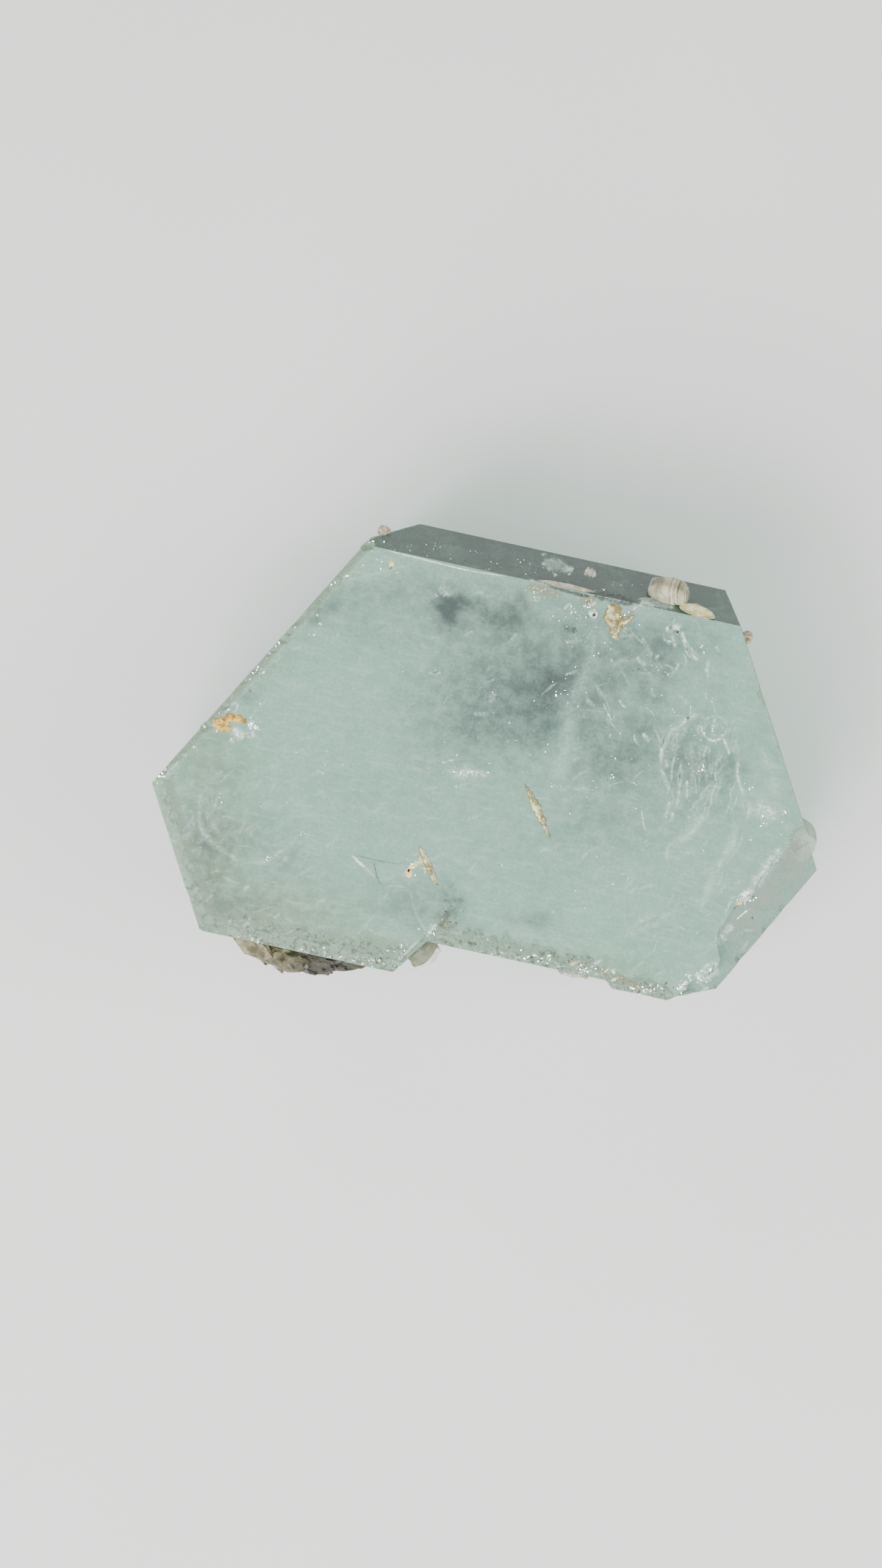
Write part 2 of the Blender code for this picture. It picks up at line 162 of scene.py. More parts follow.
# Each face: compass direction, slope, distance from the c axis, and which side it belongs to
MAIN = [
    (90, PRISM, 23.0, NORTH),
    (120, PRISM, 26.1, CORNER),
    (150.5, PRISM, 24.6, WEST),
    (210, PRISM, 31.8, SOUTH_WEST),
    (270, PRISM, SOUTH_WALL, SOUTH),
    (292, PRISM, 23.85, LOW_EAST),
    (332, PRISM, 29.85, SHELF),
    (30, PRISM, 27.4, EAST),
    (90, STEEP, NORTH_RIM, NORTH),
    (120, STEEP, 25.35, CORNER),
    (150.5, PYRAMID, 24.2, WEST),
    (210, PYRAMID, 30.7, SOUTH_WEST),
    (270, PYRAMID, 16.1, SOUTH),
]
LOBE_ONLY = [
    (210, PRISM, 31.75, SOUTH_WEST),
    (270, PRISM, 20.45, LOBE),
    (NOTCH_COMPASS, PRISM, NOTCH_WALL, NOTCH),
    (210, PYRAMID, 30.6, SOUTH_WEST),
    (270, PYRAMID, 19.2, LOBE),
]
TOE_ONLY = [
    (223, PRISM, 0.55, NOTCH_EAST),
    (270, PRISM, 17.45, SOUTH_EAST),
    (305, PRISM, 26.35, EAST_CORNER),
    (270, PYRAMID, 16.9, SOUTH_EAST),
]
BLOCKS = [
    MAIN,
    [face for face in MAIN if face[3] not in (SOUTH_WEST, SOUTH)] + LOBE_ONLY,
    [face for face in MAIN if face[3] not in (SOUTH, LOW_EAST)] + TOE_ONLY,
]
# Flat breaks round the base: compass direction, slope, and where each one meets the ground
BREAKS = [(345, 33.0, 24.5), (205, 27.0, 26.5), (85, 41.0, 19.0), (262, 24.0, 14.5), (140, 52.0, 23.0)]


def face_plane(compass, slope, distance, level):
    """Unit normal of a face, and its distance from the origin when it passes distance from the axis at
    level."""
    turn, lean = math.radians(compass), math.radians(slope)
    flat = np.array([math.cos(turn), math.sin(turn), 0.0])
    normal = flat * math.sin(lean) + np.array([0, 0, math.cos(lean)])
    return normal, normal @ (flat * distance + np.array([0, 0, level]))


def reach(angle, height):
    """How far a level ray at this angle and height goes from the middle line before it leaves the crystal,
    and the side where it leaves: the nearest face of each block, and then the farthest of the blocks. The
    breaks round the base cut all the blocks."""
    ray_x, ray_y = np.cos(angle), np.sin(angle)

    def nearest(planes):
        far, side = np.full(ray_x.shape, ENDLESS), np.zeros(ray_x.shape, int)
        for normal, offset, label in planes:
            along = normal[0] * ray_x + normal[1] * ray_y
            room = offset - normal[2] * height - normal[:2] @ MIDDLE
            stop = np.where(along > 1e-4, room / np.maximum(along, 1e-4), ENDLESS)
            side = np.where(stop < far, label, side)
            far = np.minimum(far, stop)
        return far, side

    best, best_side = np.zeros(ray_x.shape), np.zeros(ray_x.shape, int)
    for faces in BLOCKS:
        far, side = nearest([(*face_plane(c, s, d, HEIGHT), label) for c, s, d, label in faces])
        best_side = np.where(far > best, side, best_side)
        best = np.maximum(best, far)
    cut, _ = nearest([(*face_plane(c, 180 - s, d, 0.0), 0) for c, s, d in BREAKS])
    return np.minimum(best, np.maximum(cut, 1.0)), best_side


compass_now = np.radians(np.arange(0, 360, 30.0))
print("reach at the rim every 30 degrees, in mm:", reach(compass_now, np.full(12, HEIGHT))[0].round(1))

# %% [markdown]
# ## Grid lines that follow the edges
# A crystal looks like a crystal because its edges are straight and crisp. So no edge may fall between two
# grid lines. The script first finds, at each height, the angles at which the ray changes from one side to
# the next. Then it shares out the columns between those corners, so that a column runs exactly down each
# edge.

# %% Corners at each height, and the columns between them
COLUMNS = 640
DROPS = np.concatenate([
    [0.0, 0.05, 0.1, 0.144, 0.19, 0.231, 0.27, 0.317, 0.36, 0.404, 0.5, 0.635, 0.722, 0.9, 1.15, 1.4, 1.7],
    [2.0, 2.4, 2.8, 3.2, 3.6, 3.918, 4.3, 4.8, 5.4, 6.0, 6.8],
    np.linspace(7.8, HEIGHT, 21),
])
# Where the columns begin, and the drop below which every wall is upright and the corners stay in place
START = math.radians(20)
UPRIGHT_DROP = 7.0


def corner_angles(drops):
    """For each drop below the end face, the angle where each side starts, going round from the east
    side."""
    angle = np.linspace(START, START + 2 * math.pi, 14401)
    height = HEIGHT - np.minimum(drops, UPRIGHT_DROP)[:, None]
    spread = np.broadcast_to(angle, (len(drops), len(angle)))
    _, side = reach(spread, np.broadcast_to(height, spread.shape))
    side = np.where(side == EAST, np.where(spread > START + math.pi, EAST, 0), side)
    order = np.maximum.accumulate(side, axis=1)
    starts = [np.argmax(order >= label, axis=1) for label in range(1, EAST + 1)]
    inner = angle[np.stack(starts, axis=1)]
    ends = np.ones((len(drops), 1))
    return np.concatenate([ends * START, inner, ends * (START + 2 * math.pi)], axis=1)


corners = corner_angles(DROPS)
wall_row = int(np.argmax(DROPS >= UPRIGHT_DROP))
wall_reach, _ = reach(corners[wall_row], np.full(corners.shape[1], HEIGHT - UPRIGHT_DROP))
wall_points = wall_reach[:, None] * np.stack([np.cos(corners[wall_row]), np.sin(corners[wall_row])], axis=1)
side_lengths = np.linalg.norm(np.diff(wall_points, axis=0), axis=1)
share = np.maximum(3, np.round(side_lengths / side_lengths.sum() * (COLUMNS - 20))).astype(int)
share[np.argmax(share)] += COLUMNS - share.sum()
side_of = np.repeat(np.arange(len(share)), share)
step_in = np.concatenate([np.arange(count) / count for count in share])
angles = corners[:, side_of] * (1 - step_in) + corners[:, side_of + 1] * step_in
print("side lengths in mm:", side_lengths.round(1))

# %% [markdown]
# ## The broken shelf
# Along the south-east side a flake of the crystal has broken off. A small step runs along its inner rim,
# and outside it a shell-shaped surface slopes down to the wall. The rim is given as seen in the picture,
# and each column's ray is cut with it, so that a grid row runs exactly along the step.

# %% The rim of the shelf and the depth of its floor
SHELF_RIM = on_face([
    (1100, 1132), (1081, 1145), (1060, 1161), (1045, 1180), (1032, 1198), (1025, 1211), (1005, 1226),
    (997, 1237), (977, 1265), (975, 1285), (980, 1306), (975, 1319), (955, 1333), (944, 1331), (925, 1352),
])
SHELF_OUT = np.array([math.cos(math.radians(330)), math.sin(math.radians(330))])
# Depth of the step, slope of the floor, and how far from the axis the slope starts
STEP, SLOPE, SLOPE_START = 0.4, 0.4, 25.3


def rim_of_shelf(angle):
    """Distance from the middle to the rim of the shelf. Between two rim points it is a straight line, and
    on a line one over the distance changes nearly evenly with the angle."""
    away = SHELF_RIM - MIDDLE
    turn = np.arctan2(away[:, 1], away[:, 0])
    order = np.argsort(turn)
    near = np.arctan2(np.sin(angle), np.cos(angle))
    inverse = np.interp(near, turn[order], 1 / np.linalg.norm(away, axis=1)[order], left=0.0, right=0.0)
    return np.where(inverse > 0, 1 / np.maximum(inverse, 1e-6), ENDLESS)


def shelf_depth(x, y):
    """A step, then a slope that grows with the distance from the axis. Broad and fine noise make it uneven,
    as broken beryl is."""
    place = np.stack([x, y, 0 * x], axis=-1)
    out = x * SHELF_OUT[0] + y * SHELF_OUT[1]
    uneven = 0.12 * waves(place, 4.5, 71) + 0.04 * waves(place, 1.1, 72)
    return STEP + SLOPE * np.maximum(out - SLOPE_START, 0) + uneven


def skin_level(flat):
    """Height of the skin over a place: the end face, the bevel beyond the north rim, or the floor of the
    shelf."""
    away = flat - MIDDLE
    shelf_rim = rim_of_shelf(np.arctan2(away[..., 1], away[..., 0]))
    beyond_step = np.hypot(away[..., 0], away[..., 1]) > shelf_rim + 0.05
    level = np.where(beyond_step, HEIGHT - shelf_depth(flat[..., 0], flat[..., 1]) + 0.02, HEIGHT)
    past_rim = np.maximum(flat[..., 1] - NORTH_RIM, 0)
    return level - past_rim * math.tan(math.radians(STEEP))


# %% [markdown]
# ## The skin of the crystal
# Now the rows. They start at the middle of the end face, run out to the rim of the shelf, on to the rim of
# the crystal, down the walls and back in under the base. Rows crowd near the rims, where chips need fine
# points.

# %% Rows over the end, down the walls and under the base
cap_angle = angles[0]
rim_reach, rim_side = reach(cap_angle, np.full(COLUMNS, HEIGHT))
shelf_reach = rim_of_shelf(cap_angle)
on_shelf = smooth(rim_reach - shelf_reach, 0.0, 0.9)
rim_x, rim_y = (MIDDLE[:, None] + rim_reach * np.stack([np.cos(cap_angle), np.sin(cap_angle)]))
rim_level = HEIGHT - shelf_depth(rim_x, rim_y) * on_shelf
# The finely divided band along the rim narrows towards both ends of the shelf, so that no quad is skewed.
# Its widths are in mm, and the foot of the shelf's step is a small share of it outside the rim
BAND, NARROWEST, FOOT = 3.4, 0.12, 0.03
from_shelf = np.abs(np.arange(COLUMNS)[:, None] - np.flatnonzero(on_shelf > 0))
from_shelf = np.minimum(from_shelf, COLUMNS - from_shelf).min(axis=1)
band_width = np.minimum(NARROWEST + NARROWEST * from_shelf, BAND)
shelf_start = np.minimum(shelf_reach, rim_reach - NARROWEST)
band_start = np.where(on_shelf > 0, shelf_start, rim_reach - band_width)
inner = np.linspace(0, 1, 67)[1:] ** 0.85
outer = 1 - (1 - np.linspace(0, 1, 27)[1:]) ** 1.5

inner_reach = inner[:, None] * band_start
foot_reach = band_start + FOOT * (rim_reach - band_start)
outer_reach = foot_reach + outer[:, None] * (rim_reach - foot_reach)
cap_reach = np.concatenate([inner_reach, foot_reach[None, :], outer_reach])
cap_x = MIDDLE[0] + cap_reach * np.cos(cap_angle)
cap_y = MIDDLE[1] + cap_reach * np.sin(cap_angle)
beyond = np.zeros((len(cap_reach), 1))
beyond[len(inner):] = 1
cap_z = HEIGHT - shelf_depth(cap_x, cap_y) * on_shelf * beyond

wall_z = rim_level * (1 - DROPS[1:, None] / HEIGHT)
wall_angle = angles[1:]
wall_out, _ = reach(wall_angle, wall_z)
wall_x = MIDDLE[0] + wall_out * np.cos(wall_angle)
wall_y = MIDDLE[1] + wall_out * np.sin(wall_angle)

base_share = np.linspace(1, 0, 14)[1:-1, None]
base_x = MIDDLE[0] + (wall_x[-1] - MIDDLE[0]) * base_share
base_y = MIDDLE[1] + (wall_y[-1] - MIDDLE[1]) * base_share
skin = np.concatenate([
    np.stack([cap_x, cap_y, cap_z], axis=-1),
    np.stack([wall_x, wall_y, wall_z], axis=-1),
    np.stack([base_x, base_y, np.zeros_like(base_x)], axis=-1),
])
CAP_ROWS, WALL_ROWS = len(cap_reach), len(wall_z)
print("rows and columns of the skin:", skin.shape[:2])

# %% [markdown]
# ## Chips, pits and the worn rims
# Beryl is brittle. Where an edge was knocked, a small shell-shaped flake came off. Each chip here is a
# ball: any point of the skin inside it is pushed away from its middle onto its surface, which leaves a
# shell-shaped hollow. The rims on the west and south sides have dozens of tiny ones, placed at random from
# a fixed seed.

# %% Pressing the chips into the skin
# Each chip: the middle of its ball and its radius. The ones near the ground are breaks of the base
LARGE_CHIPS = [
    (-32.0, -5.6, 27.1, 1.6), (-27.6, 2.3, 27.0, 1.5), (-22.3, 11.4, 26.9, 1.5), (-19.9, 15.6, 27.0, 1.5),
    (24.2, 13.6, 26.9, 1.3), (-21.6, -20.9, 26.6, 1.6), (-11.0, -21.2, 26.4, 1.7), (3.5, -17.6, 26.6, 1.4),
    (9.4, -17.5, 26.7, 1.5), (18.6, -18.3, 26.5, 1.6), (30.6, -6.3, 24.1, 0.7), (29.2, -8.7, 24.0, 0.55),
    (-13.0, 24.5, -3.5, 9.0), (9.0, -21.5, -3.0, 8.0), (31.5, 8.0, 0.5, 6.5), (-31.0, -15.0, 1.0, 6.0),
    (14.0, 26.0, 0.0, 6.5), (27.3, -11.9, 24.0, 0.8), (25.6, -14.9, 24.1, 0.6), (21.9, -17.7, 26.2, 0.95),
]
# How many tiny chips each side's rim gets
CHIPPED_SIDES = {WEST: 26, SOUTH_WEST: 8, LOBE: 18, SOUTH: 20, SOUTH_EAST: 8, EAST: 4, NOTCH: 4}


def small_chips(seed):
    """Balls just outside the rim: at random columns of the chipped sides, a little out from the rim and
    above it, with radii between 0.18 and 0.8 mm, most of them small."""
    rng = np.random.default_rng(seed)
    chips = []
    for label, count in CHIPPED_SIDES.items():
        columns = np.flatnonzero((rim_side == label) & (on_shelf == 0))
        pick = rng.choice(columns, count)
        radius = 0.18 + 0.62 * rng.random(count) ** 3
        away = rim_reach[pick] + radius * rng.uniform(0.2, 0.75, count)
        x = MIDDLE[0] + away * np.cos(cap_angle[pick])
        y = MIDDLE[1] + away * np.sin(cap_angle[pick])
        chips.append(np.stack([x, y, HEIGHT + radius * rng.uniform(-0.1, 0.6, count), radius], axis=1))
    return np.concatenate(chips)


def press_chip(points, chip, worn):
    """Pushes the points inside a ball along the line from its middle until they lie on it. Its radius
    varies a little, so that the hollow has the ripples of a shell. worn gets 1 where a point was moved."""
    away = points - chip[:3]
    length = np.linalg.norm(away, axis=-1)
    radius = chip[3] * (1 + 0.12 * waves(points, chip[3] * 0.9, 5, octaves=2))
    inside = length < radius
    pushed = chip[:3] + away * (radius / np.maximum(length, 1e-3))[..., None]
    worn[inside] = 1
    return np.where(inside[..., None], pushed, points)


worn = np.zeros(skin.shape[:2])
all_chips = np.concatenate([np.array(LARGE_CHIPS), small_chips(seed=11)])
# A chip whose middle is below the end face is moved out until its middle is a little outside the wall
chip_out = all_chips[:, :2] - MIDDLE
chip_angle = np.arctan2(chip_out[:, 1], chip_out[:, 0])
wall_here, _ = reach(chip_angle, np.clip(all_chips[:, 2], 0, HEIGHT))
low_chip = all_chips[:, 2] < HEIGHT
push = np.maximum(wall_here + 0.2 * all_chips[:, 3] - np.hypot(*chip_out.T), 0) * low_chip
all_chips[:, :2] += push[:, None] * np.stack([np.cos(chip_angle), np.sin(chip_angle)], axis=1)
for chip in all_chips:
    skin = press_chip(skin, chip, worn)
skin[..., 2] = np.clip(skin[..., 2], 0, HEIGHT)
print("chips pressed:", len(all_chips))

# %% [markdown]
# ## Lip, etched band and broken base
# Beside the shelf a rounded lip of crystal bulges from the wall. Inside the south rim, the end face is
# etched: a band of small pits. The base is a rough break that is flat only where the crystal rests on it.

# %% Relief by area
LIP = np.array([30.45, 0.5, 24.5])
LIP_SIZE = np.array([1.65, 2.1, 1.6])


def bulge(points, centre, size):
    """Moves each point that lies inside an ellipsoid, and below the end face, level and straight away from
    the middle of the crystal until it is on the ellipsoid: the far root of a quadratic for each ray."""
    away = (points - centre) / size
    length = np.linalg.norm(away, axis=-1)
    inside = (length < 1) & (points[..., 2] < HEIGHT - 0.01)
    out = points[..., :2] - MIDDLE
    heading = out / np.maximum(np.linalg.norm(out, axis=-1, keepdims=True), 1e-3)
    ahead = (away[..., :2] / size[:2] * heading).sum(axis=-1)
    speed = ((heading / size[:2]) ** 2).sum(axis=-1)
    root = np.sqrt(np.maximum(ahead**2 - speed * (length**2 - 1), 0))
    shift = (root - ahead) / speed
    moved = points.copy()
    moved[..., :2] += heading * np.where(inside, shift, 0)[..., None]
    return moved


rows = np.arange(skin.shape[0])[:, None]
on_wall = (rows >= CAP_ROWS - 1) & (rows < CAP_ROWS + WALL_ROWS)
skin = np.where(on_wall[..., None], bulge(skin, LIP, LIP_SIZE), skin)

from_rim = rim_reach - np.concatenate([cap_reach, np.tile(rim_reach, (skin.shape[0] - CAP_ROWS, 1))])
etched_side = np.isin(rim_side, [LOBE, SOUTH, SOUTH_EAST, NOTCH])
width = 1.5 + 0.5 * np.sin(cap_angle * 23) * np.sin(cap_angle * 57)
etched = (1 - smooth(from_rim, width - 0.6, width + 0.3)) * etched_side * (rows < CAP_ROWS)
etched = np.where(on_wall, etched_side * (1 - smooth(HEIGHT - skin[..., 2], 0.7, 1.2)), etched)
pits = 0.5 + 0.5 * waves(skin, 0.9, 21)
skin[..., 2] -= 0.09 * etched * pits * (from_rim > 0.02) * ~on_wall

under = rows >= CAP_ROWS + WALL_ROWS
skin[..., 2] += under * 0.5 * smooth(waves(skin, 9.0, 31), 0.15, 1.1)

shelf_rows = (rows >= len(inner)) & (rows < CAP_ROWS)
broken = np.clip(on_shelf * shelf_rows + worn + under, 0, 1)
low = smooth(6.0 - skin[..., 2], 0.0, 4.0) * (rows >= CAP_ROWS)
broken = np.maximum(broken, low)
print("share of the skin that is etched:", float(etched.mean().round(3)))

# %% [markdown]
# ## Clearer and cloudier places
# The crystal is milky, because it is full of tiny bubbles of water, but in some places it is clearer and
# the dark depth shows through. These places are soft and large, so one number a point is enough to carry
# them: the sum of a few soft spots, whose outlines are bent by noise. On the north bevel the number is set
# high, partly for its clearer stone and partly as painted shade of the tilted face. The material reads that
# number and adds fine grain.

# %% Soft clear spots, and frost along the rims
# Each spot: pixel right, pixel down, half width, half height in mm, and strength
CLEAR_SPOTS = [
    (617, 836, 1.7, 1.5, 0.62), (645, 830, 3.0, 1.4, 0.28), (697, 838, 2.0, 1.4, 0.34),
    (757, 927, 1.8, 1.4, 0.23), (735, 965, 4.2, 3.8, 0.36), (660, 985, 2.6, 2.2, 0.20),
    (730, 1010, 1.4, 1.2, 0.22), (700, 900, 9.0, 5.5, 0.28), (800, 985, 3.0, 4.0, 0.18),
    (850, 1030, 4.5, 3.2, 0.26), (905, 880, 2.8, 2.0, 0.34), (882, 942, 1.4, 1.2, 0.28),
    (930, 1035, 2.6, 3.8, 0.24), (985, 1050, 1.8, 2.6, 0.27), (320, 1135, 3.6, 2.6, 0.14),
    (718, 1251, 1.8, 0.7, 0.30), (612, 1232, 1.4, 1.2, 0.30), (560, 800, 6.0, 1.6, 0.20),
    (445, 820, 1.8, 0.7, 0.30), (430, 838, 0.8, 0.7, 0.25), (330, 940, 1.5, 0.8, 0.18),
    (780, 857, 0.5, 0.5, 0.4), (820, 900, 6.0, 3.5, 0.24), (830, 1120, 6.0, 3.0, 0.14),
    (560, 1230, 2.6, 2.2, 0.22), (620, 1000, 5.0, 4.0, 0.12), (850, 1035, 1.6, 1.6, 0.16),
    (870, 990, 1.6, 1.0, 0.2), (838, 945, 0.8, 1.2, 0.2), (950, 1050, 1.4, 2.0, 0.18),
    (1000, 920, 3.5, 5.0, 0.07), (640, 930, 3.0, 2.5, 0.08), (520, 850, 4.0, 3.0, 0.05),
    (275, 1160, 1.8, 5.0, 0.2), (300, 1240, 4.0, 2.0, 0.2), (385, 1160, 2.0, 1.6, 0.12),
    (315, 1060, 1.6, 1.4, 0.12),
]
# Cloudier spots, with the same columns
PALE_SPOTS = [
    (800, 900, 1.0, 1.6, 0.22), (788, 940, 0.9, 1.5, 0.3), (776, 975, 0.9, 1.5, 0.36),
    (771, 1010, 1.0, 1.4, 0.36), (760, 1042, 1.1, 1.2, 0.26), (560, 900, 5.0, 3.0, 0.08),
    (1020, 930, 2.2, 4.5, 0.2), (1050, 1080, 1.6, 3.0, 0.35), (480, 1290, 6.0, 1.4, 0.15),
    (850, 1290, 6.0, 2.0, 0.12), (870, 832, 2.6, 0.7, 0.45), (500, 768, 2.6, 1.0, 0.25),
    (240, 1020, 1.5, 1.0, 0.25), (560, 1100, 6.0, 3.0, 0.08), (420, 980, 7.0, 5.0, 0.06),
]


def spots(points, table, seed):
    """Sum of round hills of the form one over e to the distance squared. The distance is counted in half
    widths along the picture's own directions, and noise bends it."""
    bent = points + 0.8 * np.stack([waves(points, 4.0, seed + i) for i in range(3)], axis=-1)
    total = np.zeros(points.shape[:-1])
    for right, down, half_width, half_height, strength in table:
        offset = bent[..., :2] - on_face([(right, down)])[0]
        level = offset @ np.array([math.cos(TURN), math.sin(TURN)]) / half_width
        steep = offset @ np.array([-math.sin(TURN), math.cos(TURN)]) / half_height
        total += strength * np.exp(-(level**2) - steep**2)
    return total


# Spots with a warm, greenish tint, with the same columns
WARM_SPOTS = [
    (275, 1180, 4.0, 8.0, 1.1), (330, 1250, 7.0, 3.4, 1.1), (430, 1240, 6.0, 2.0, 0.4),
    (280, 1020, 3.5, 3.5, 0.6), (350, 900, 2.5, 2.0, 0.5), (840, 1320, 5.0, 1.4, 0.5),
    (700, 1295, 6.0, 1.0, 0.4), (470, 795, 2.0, 1.2, 0.4), (610, 1250, 1.5, 1.5, 0.5),
]
warm = np.clip(spots(skin, WARM_SPOTS, 81), 0, 1)
murk = np.clip(1.3 * spots(skin, CLEAR_SPOTS, 41) - spots(skin, PALE_SPOTS, 51), -1, 1.2)
on_bevel = (rim_side == NORTH) | (rim_side == CORNER)
bevel = on_bevel & (rows >= CAP_ROWS) & (rows < CAP_ROWS + WALL_ROWS)
pale_middle = 0.04 * np.exp(-(((skin[..., 0] - 1.0) / 8.0) ** 2))
# On the north bevel a high murk darkens the tilted face: partly its clearer stone, partly painted shade
murk = np.where(bevel, 0.98 + 0.10 * waves(skin, 5.0, 61) - pale_middle, murk)
# How wide the frosted band is on the end face, in mm, and how strong the frost is on the walls
frost_width = np.select([rim_side == SOUTH_WEST, rim_side == WEST, rim_side == LOBE, etched_side],
                        [1.5, 0.6, 3.2, 1.6], 0.2)
frost_width = frost_width * (1 + 0.3 * waves(skin, 2.0, 64))
frosted = np.where(rows < CAP_ROWS, 1 - smooth(from_rim, 0.2 * frost_width, frost_width), 0)
drop = HEIGHT - skin[..., 2]
side_frost = np.select([rim_side == SOUTH_WEST, rim_side == WEST, rim_side == NOTCH, rim_side == EAST],
                       [0.15, 1.0, 0.3, 0.2], 0.8)
frosted = np.where(on_wall & ~bevel, side_frost * (1 - smooth(drop, 0.6, 3.0)), frosted) * ~on_bevel
near_lip = 1 - smooth(np.linalg.norm((skin - LIP) / LIP_SIZE, axis=-1), 1.02, 1.25)
frosted = np.maximum(frosted, 1.55 * near_lip)
frosted = np.maximum(frosted, 1.3 * worn * (1 - smooth(drop, 1.0, 2.5)))
warm = np.maximum(warm, (rim_side == SOUTH_WEST) * on_wall * (1 - smooth(drop, 1.5, 5.0)))
pink = shelf_rows * on_shelf * smooth(skin[..., 1], -14.0, -6.0)
pink = pink * (0.25 + 0.75 * smooth(from_rim + 0.8 * waves(skin, 3.0, 63), 0.6, 2.2))
pink = np.maximum(pink, 0.3 * near_lip)
side = on_wall * smooth(drop, 0.5, 3.0) * ~bevel
murk = murk + 0.16 * side * (rim_side != NORTH)
print("cloudiest and clearest values:", murk.min().round(2), murk.max().round(2))

# %% [markdown]
# ## Finishes from nodes
# Each finish is a Principled shader whose colour, roughness and bump come from nodes. Effects that more
# than one finish needs are node groups. A small helper adds a node and sets or links its sockets in one go.

# %% A helper for nodes, and groups that several finishes share


def put(tree, kind, sockets=None, **settings):
    """Adds a node. Each socket is named or numbered, and gets a value, or a link if it is given an
    output."""
    node = tree.nodes.new(kind)
    for name, value in settings.items():
        setattr(node, name, value)
    for name, value in (sockets or {}).items():
        if isinstance(value, bpy.types.NodeSocket):
            tree.links.new(value, node.inputs[name])
        else:
            node.inputs[name].default_value = value
    return node


def math_node(tree, operation, one, two=0.0):
    """The result of one Math node."""
    return put(tree, "ShaderNodeMath", {0: one, 1: two}, operation=operation).outputs[0]


def ramp(tree, value, low, high, start=0.0, end=1.0):
    """A smooth step from start to end while value goes from low to high."""
    sockets = {"Value": value, "From Min": low, "From Max": high, "To Min": start, "To Max": end}
    return put(tree, "ShaderNodeMapRange", sockets, interpolation_type="SMOOTHSTEP").outputs["Result"]


def mix(tree, share, one, two):
    """One colour where share is 0, and the other where it is 1."""
    return put(tree, "ShaderNodeMix", {0: share, 6: one, 7: two}, data_type="RGBA").outputs[2]


def noise(tree, vector, scale, detail=3.0, roughness=0.6):
    """Noise with scale features a millimetre, when vector is in millimetres."""
    sockets = {"Vector": vector, "Scale": scale, "Detail": detail, "Roughness": roughness}
    return put(tree, "ShaderNodeTexNoise", sockets).outputs["Fac"]


def new_group(name, inputs, outputs):
    """An empty node group with the given sockets: each is a name, a kind and a default."""
    group = bpy.data.node_groups.new(name, "ShaderNodeTree")
    for label, kind, default in inputs:
        group.interface.new_socket(label, in_out="INPUT", socket_type=kind).default_value = default
    for label, kind in outputs:
        group.interface.new_socket(label, in_out="OUTPUT", socket_type=kind)
    return group, group.nodes.new("NodeGroupInput"), group.nodes.new("NodeGroupOutput")


def millimetres(tree):
    """Object coordinates in millimetres."""
    place = put(tree, "ShaderNodeTexCoord").outputs["Object"]
    return put(tree, "ShaderNodeVectorMath", {0: place, "Scale": 1000.0}, operation="SCALE").outputs["Vector"]


def stored_number(tree, label):
    """The number stored at the points under a name."""
    return put(tree, "ShaderNodeAttribute", attribute_name=label).outputs["Fac"]


def mottle_group():
    """Two colours mixed by noise of a given size, and a height from finer noise."""
    group, entry, leave = new_group(
        "mottle",
        [
            ("Vector", "NodeSocketVector", (0, 0, 0)),
            ("Light", "NodeSocketColor", (0.8, 0.8, 0.8, 1)),
            ("Dark", "NodeSocketColor", (0.2, 0.2, 0.2, 1)),
            ("Scale", "NodeSocketFloat", 1.0),
            ("Balance", "NodeSocketFloat", 0.5),
        ],
        [("Color", "NodeSocketColor"), ("Mask", "NodeSocketFloat"), ("Height", "NodeSocketFloat")],
    )
    scale = entry.outputs["Scale"]
    wide = noise(group, entry.outputs["Vector"], scale, 5.0, 0.62)
    low = math_node(group, "SUBTRACT", entry.outputs["Balance"], 0.14)
    high = math_node(group, "ADD", entry.outputs["Balance"], 0.14)
    mask = ramp(group, wide, low, high)
    fine = noise(group, entry.outputs["Vector"], math_node(group, "MULTIPLY", scale, 5.0), 4.0, 0.7)
    group.links.new(mix(group, mask, entry.outputs["Light"], entry.outputs["Dark"]), leave.inputs["Color"])
    group.links.new(mask, leave.inputs["Mask"])
    group.links.new(math_node(group, "ADD", fine, mask), leave.inputs["Height"])
    return group


MOTTLE = mottle_group()


def new_finish(name):
    """A fresh material, its node tree and its Principled shader."""
    finish = bpy.data.materials.new(name)
    finish.use_nodes = True
    return finish, finish.node_tree, finish.node_tree.nodes["Principled BSDF"]


def set_sockets(shader, **values):
    """Sets sockets by name, with underscores for spaces."""
    for name, value in values.items():
        shader.inputs[name.replace("_", " ")].default_value = value


def bump(tree, height, distance, strength=1.0):
    """A Bump node's normal, for a height in units of distance in metres."""
    sockets = {"Height": height, "Distance": distance, "Strength": strength}
    return put(tree, "ShaderNodeBump", sockets).outputs["Normal"]


print("shared groups:", MOTTLE.name)

# %% [markdown]
# ## Milky aquamarine
# The stone lets light through, but its haze of tiny bubbles scatters much of it. The finish is part glass
# and part milk: plain transmission, with beryl's refractive index of about 1.58, and a volume that absorbs
# red light most. The Base Color carries the haze. It gets darker and bluer in the clearer places, greenish
# where iron stains it, pale where the rims are frosted, and pinkish where the flake broke off. Down the
# walls run fine growth lines, in the colour and in the bump. Shadow rays pass through most of the stone, so
# that what lies in it and under it is lit.

# %% The finish of the stone
# What each point of the skin stores for its finish
STORED = ("murk", "warm", "frosted", "etched", "broken", "pink", "side")


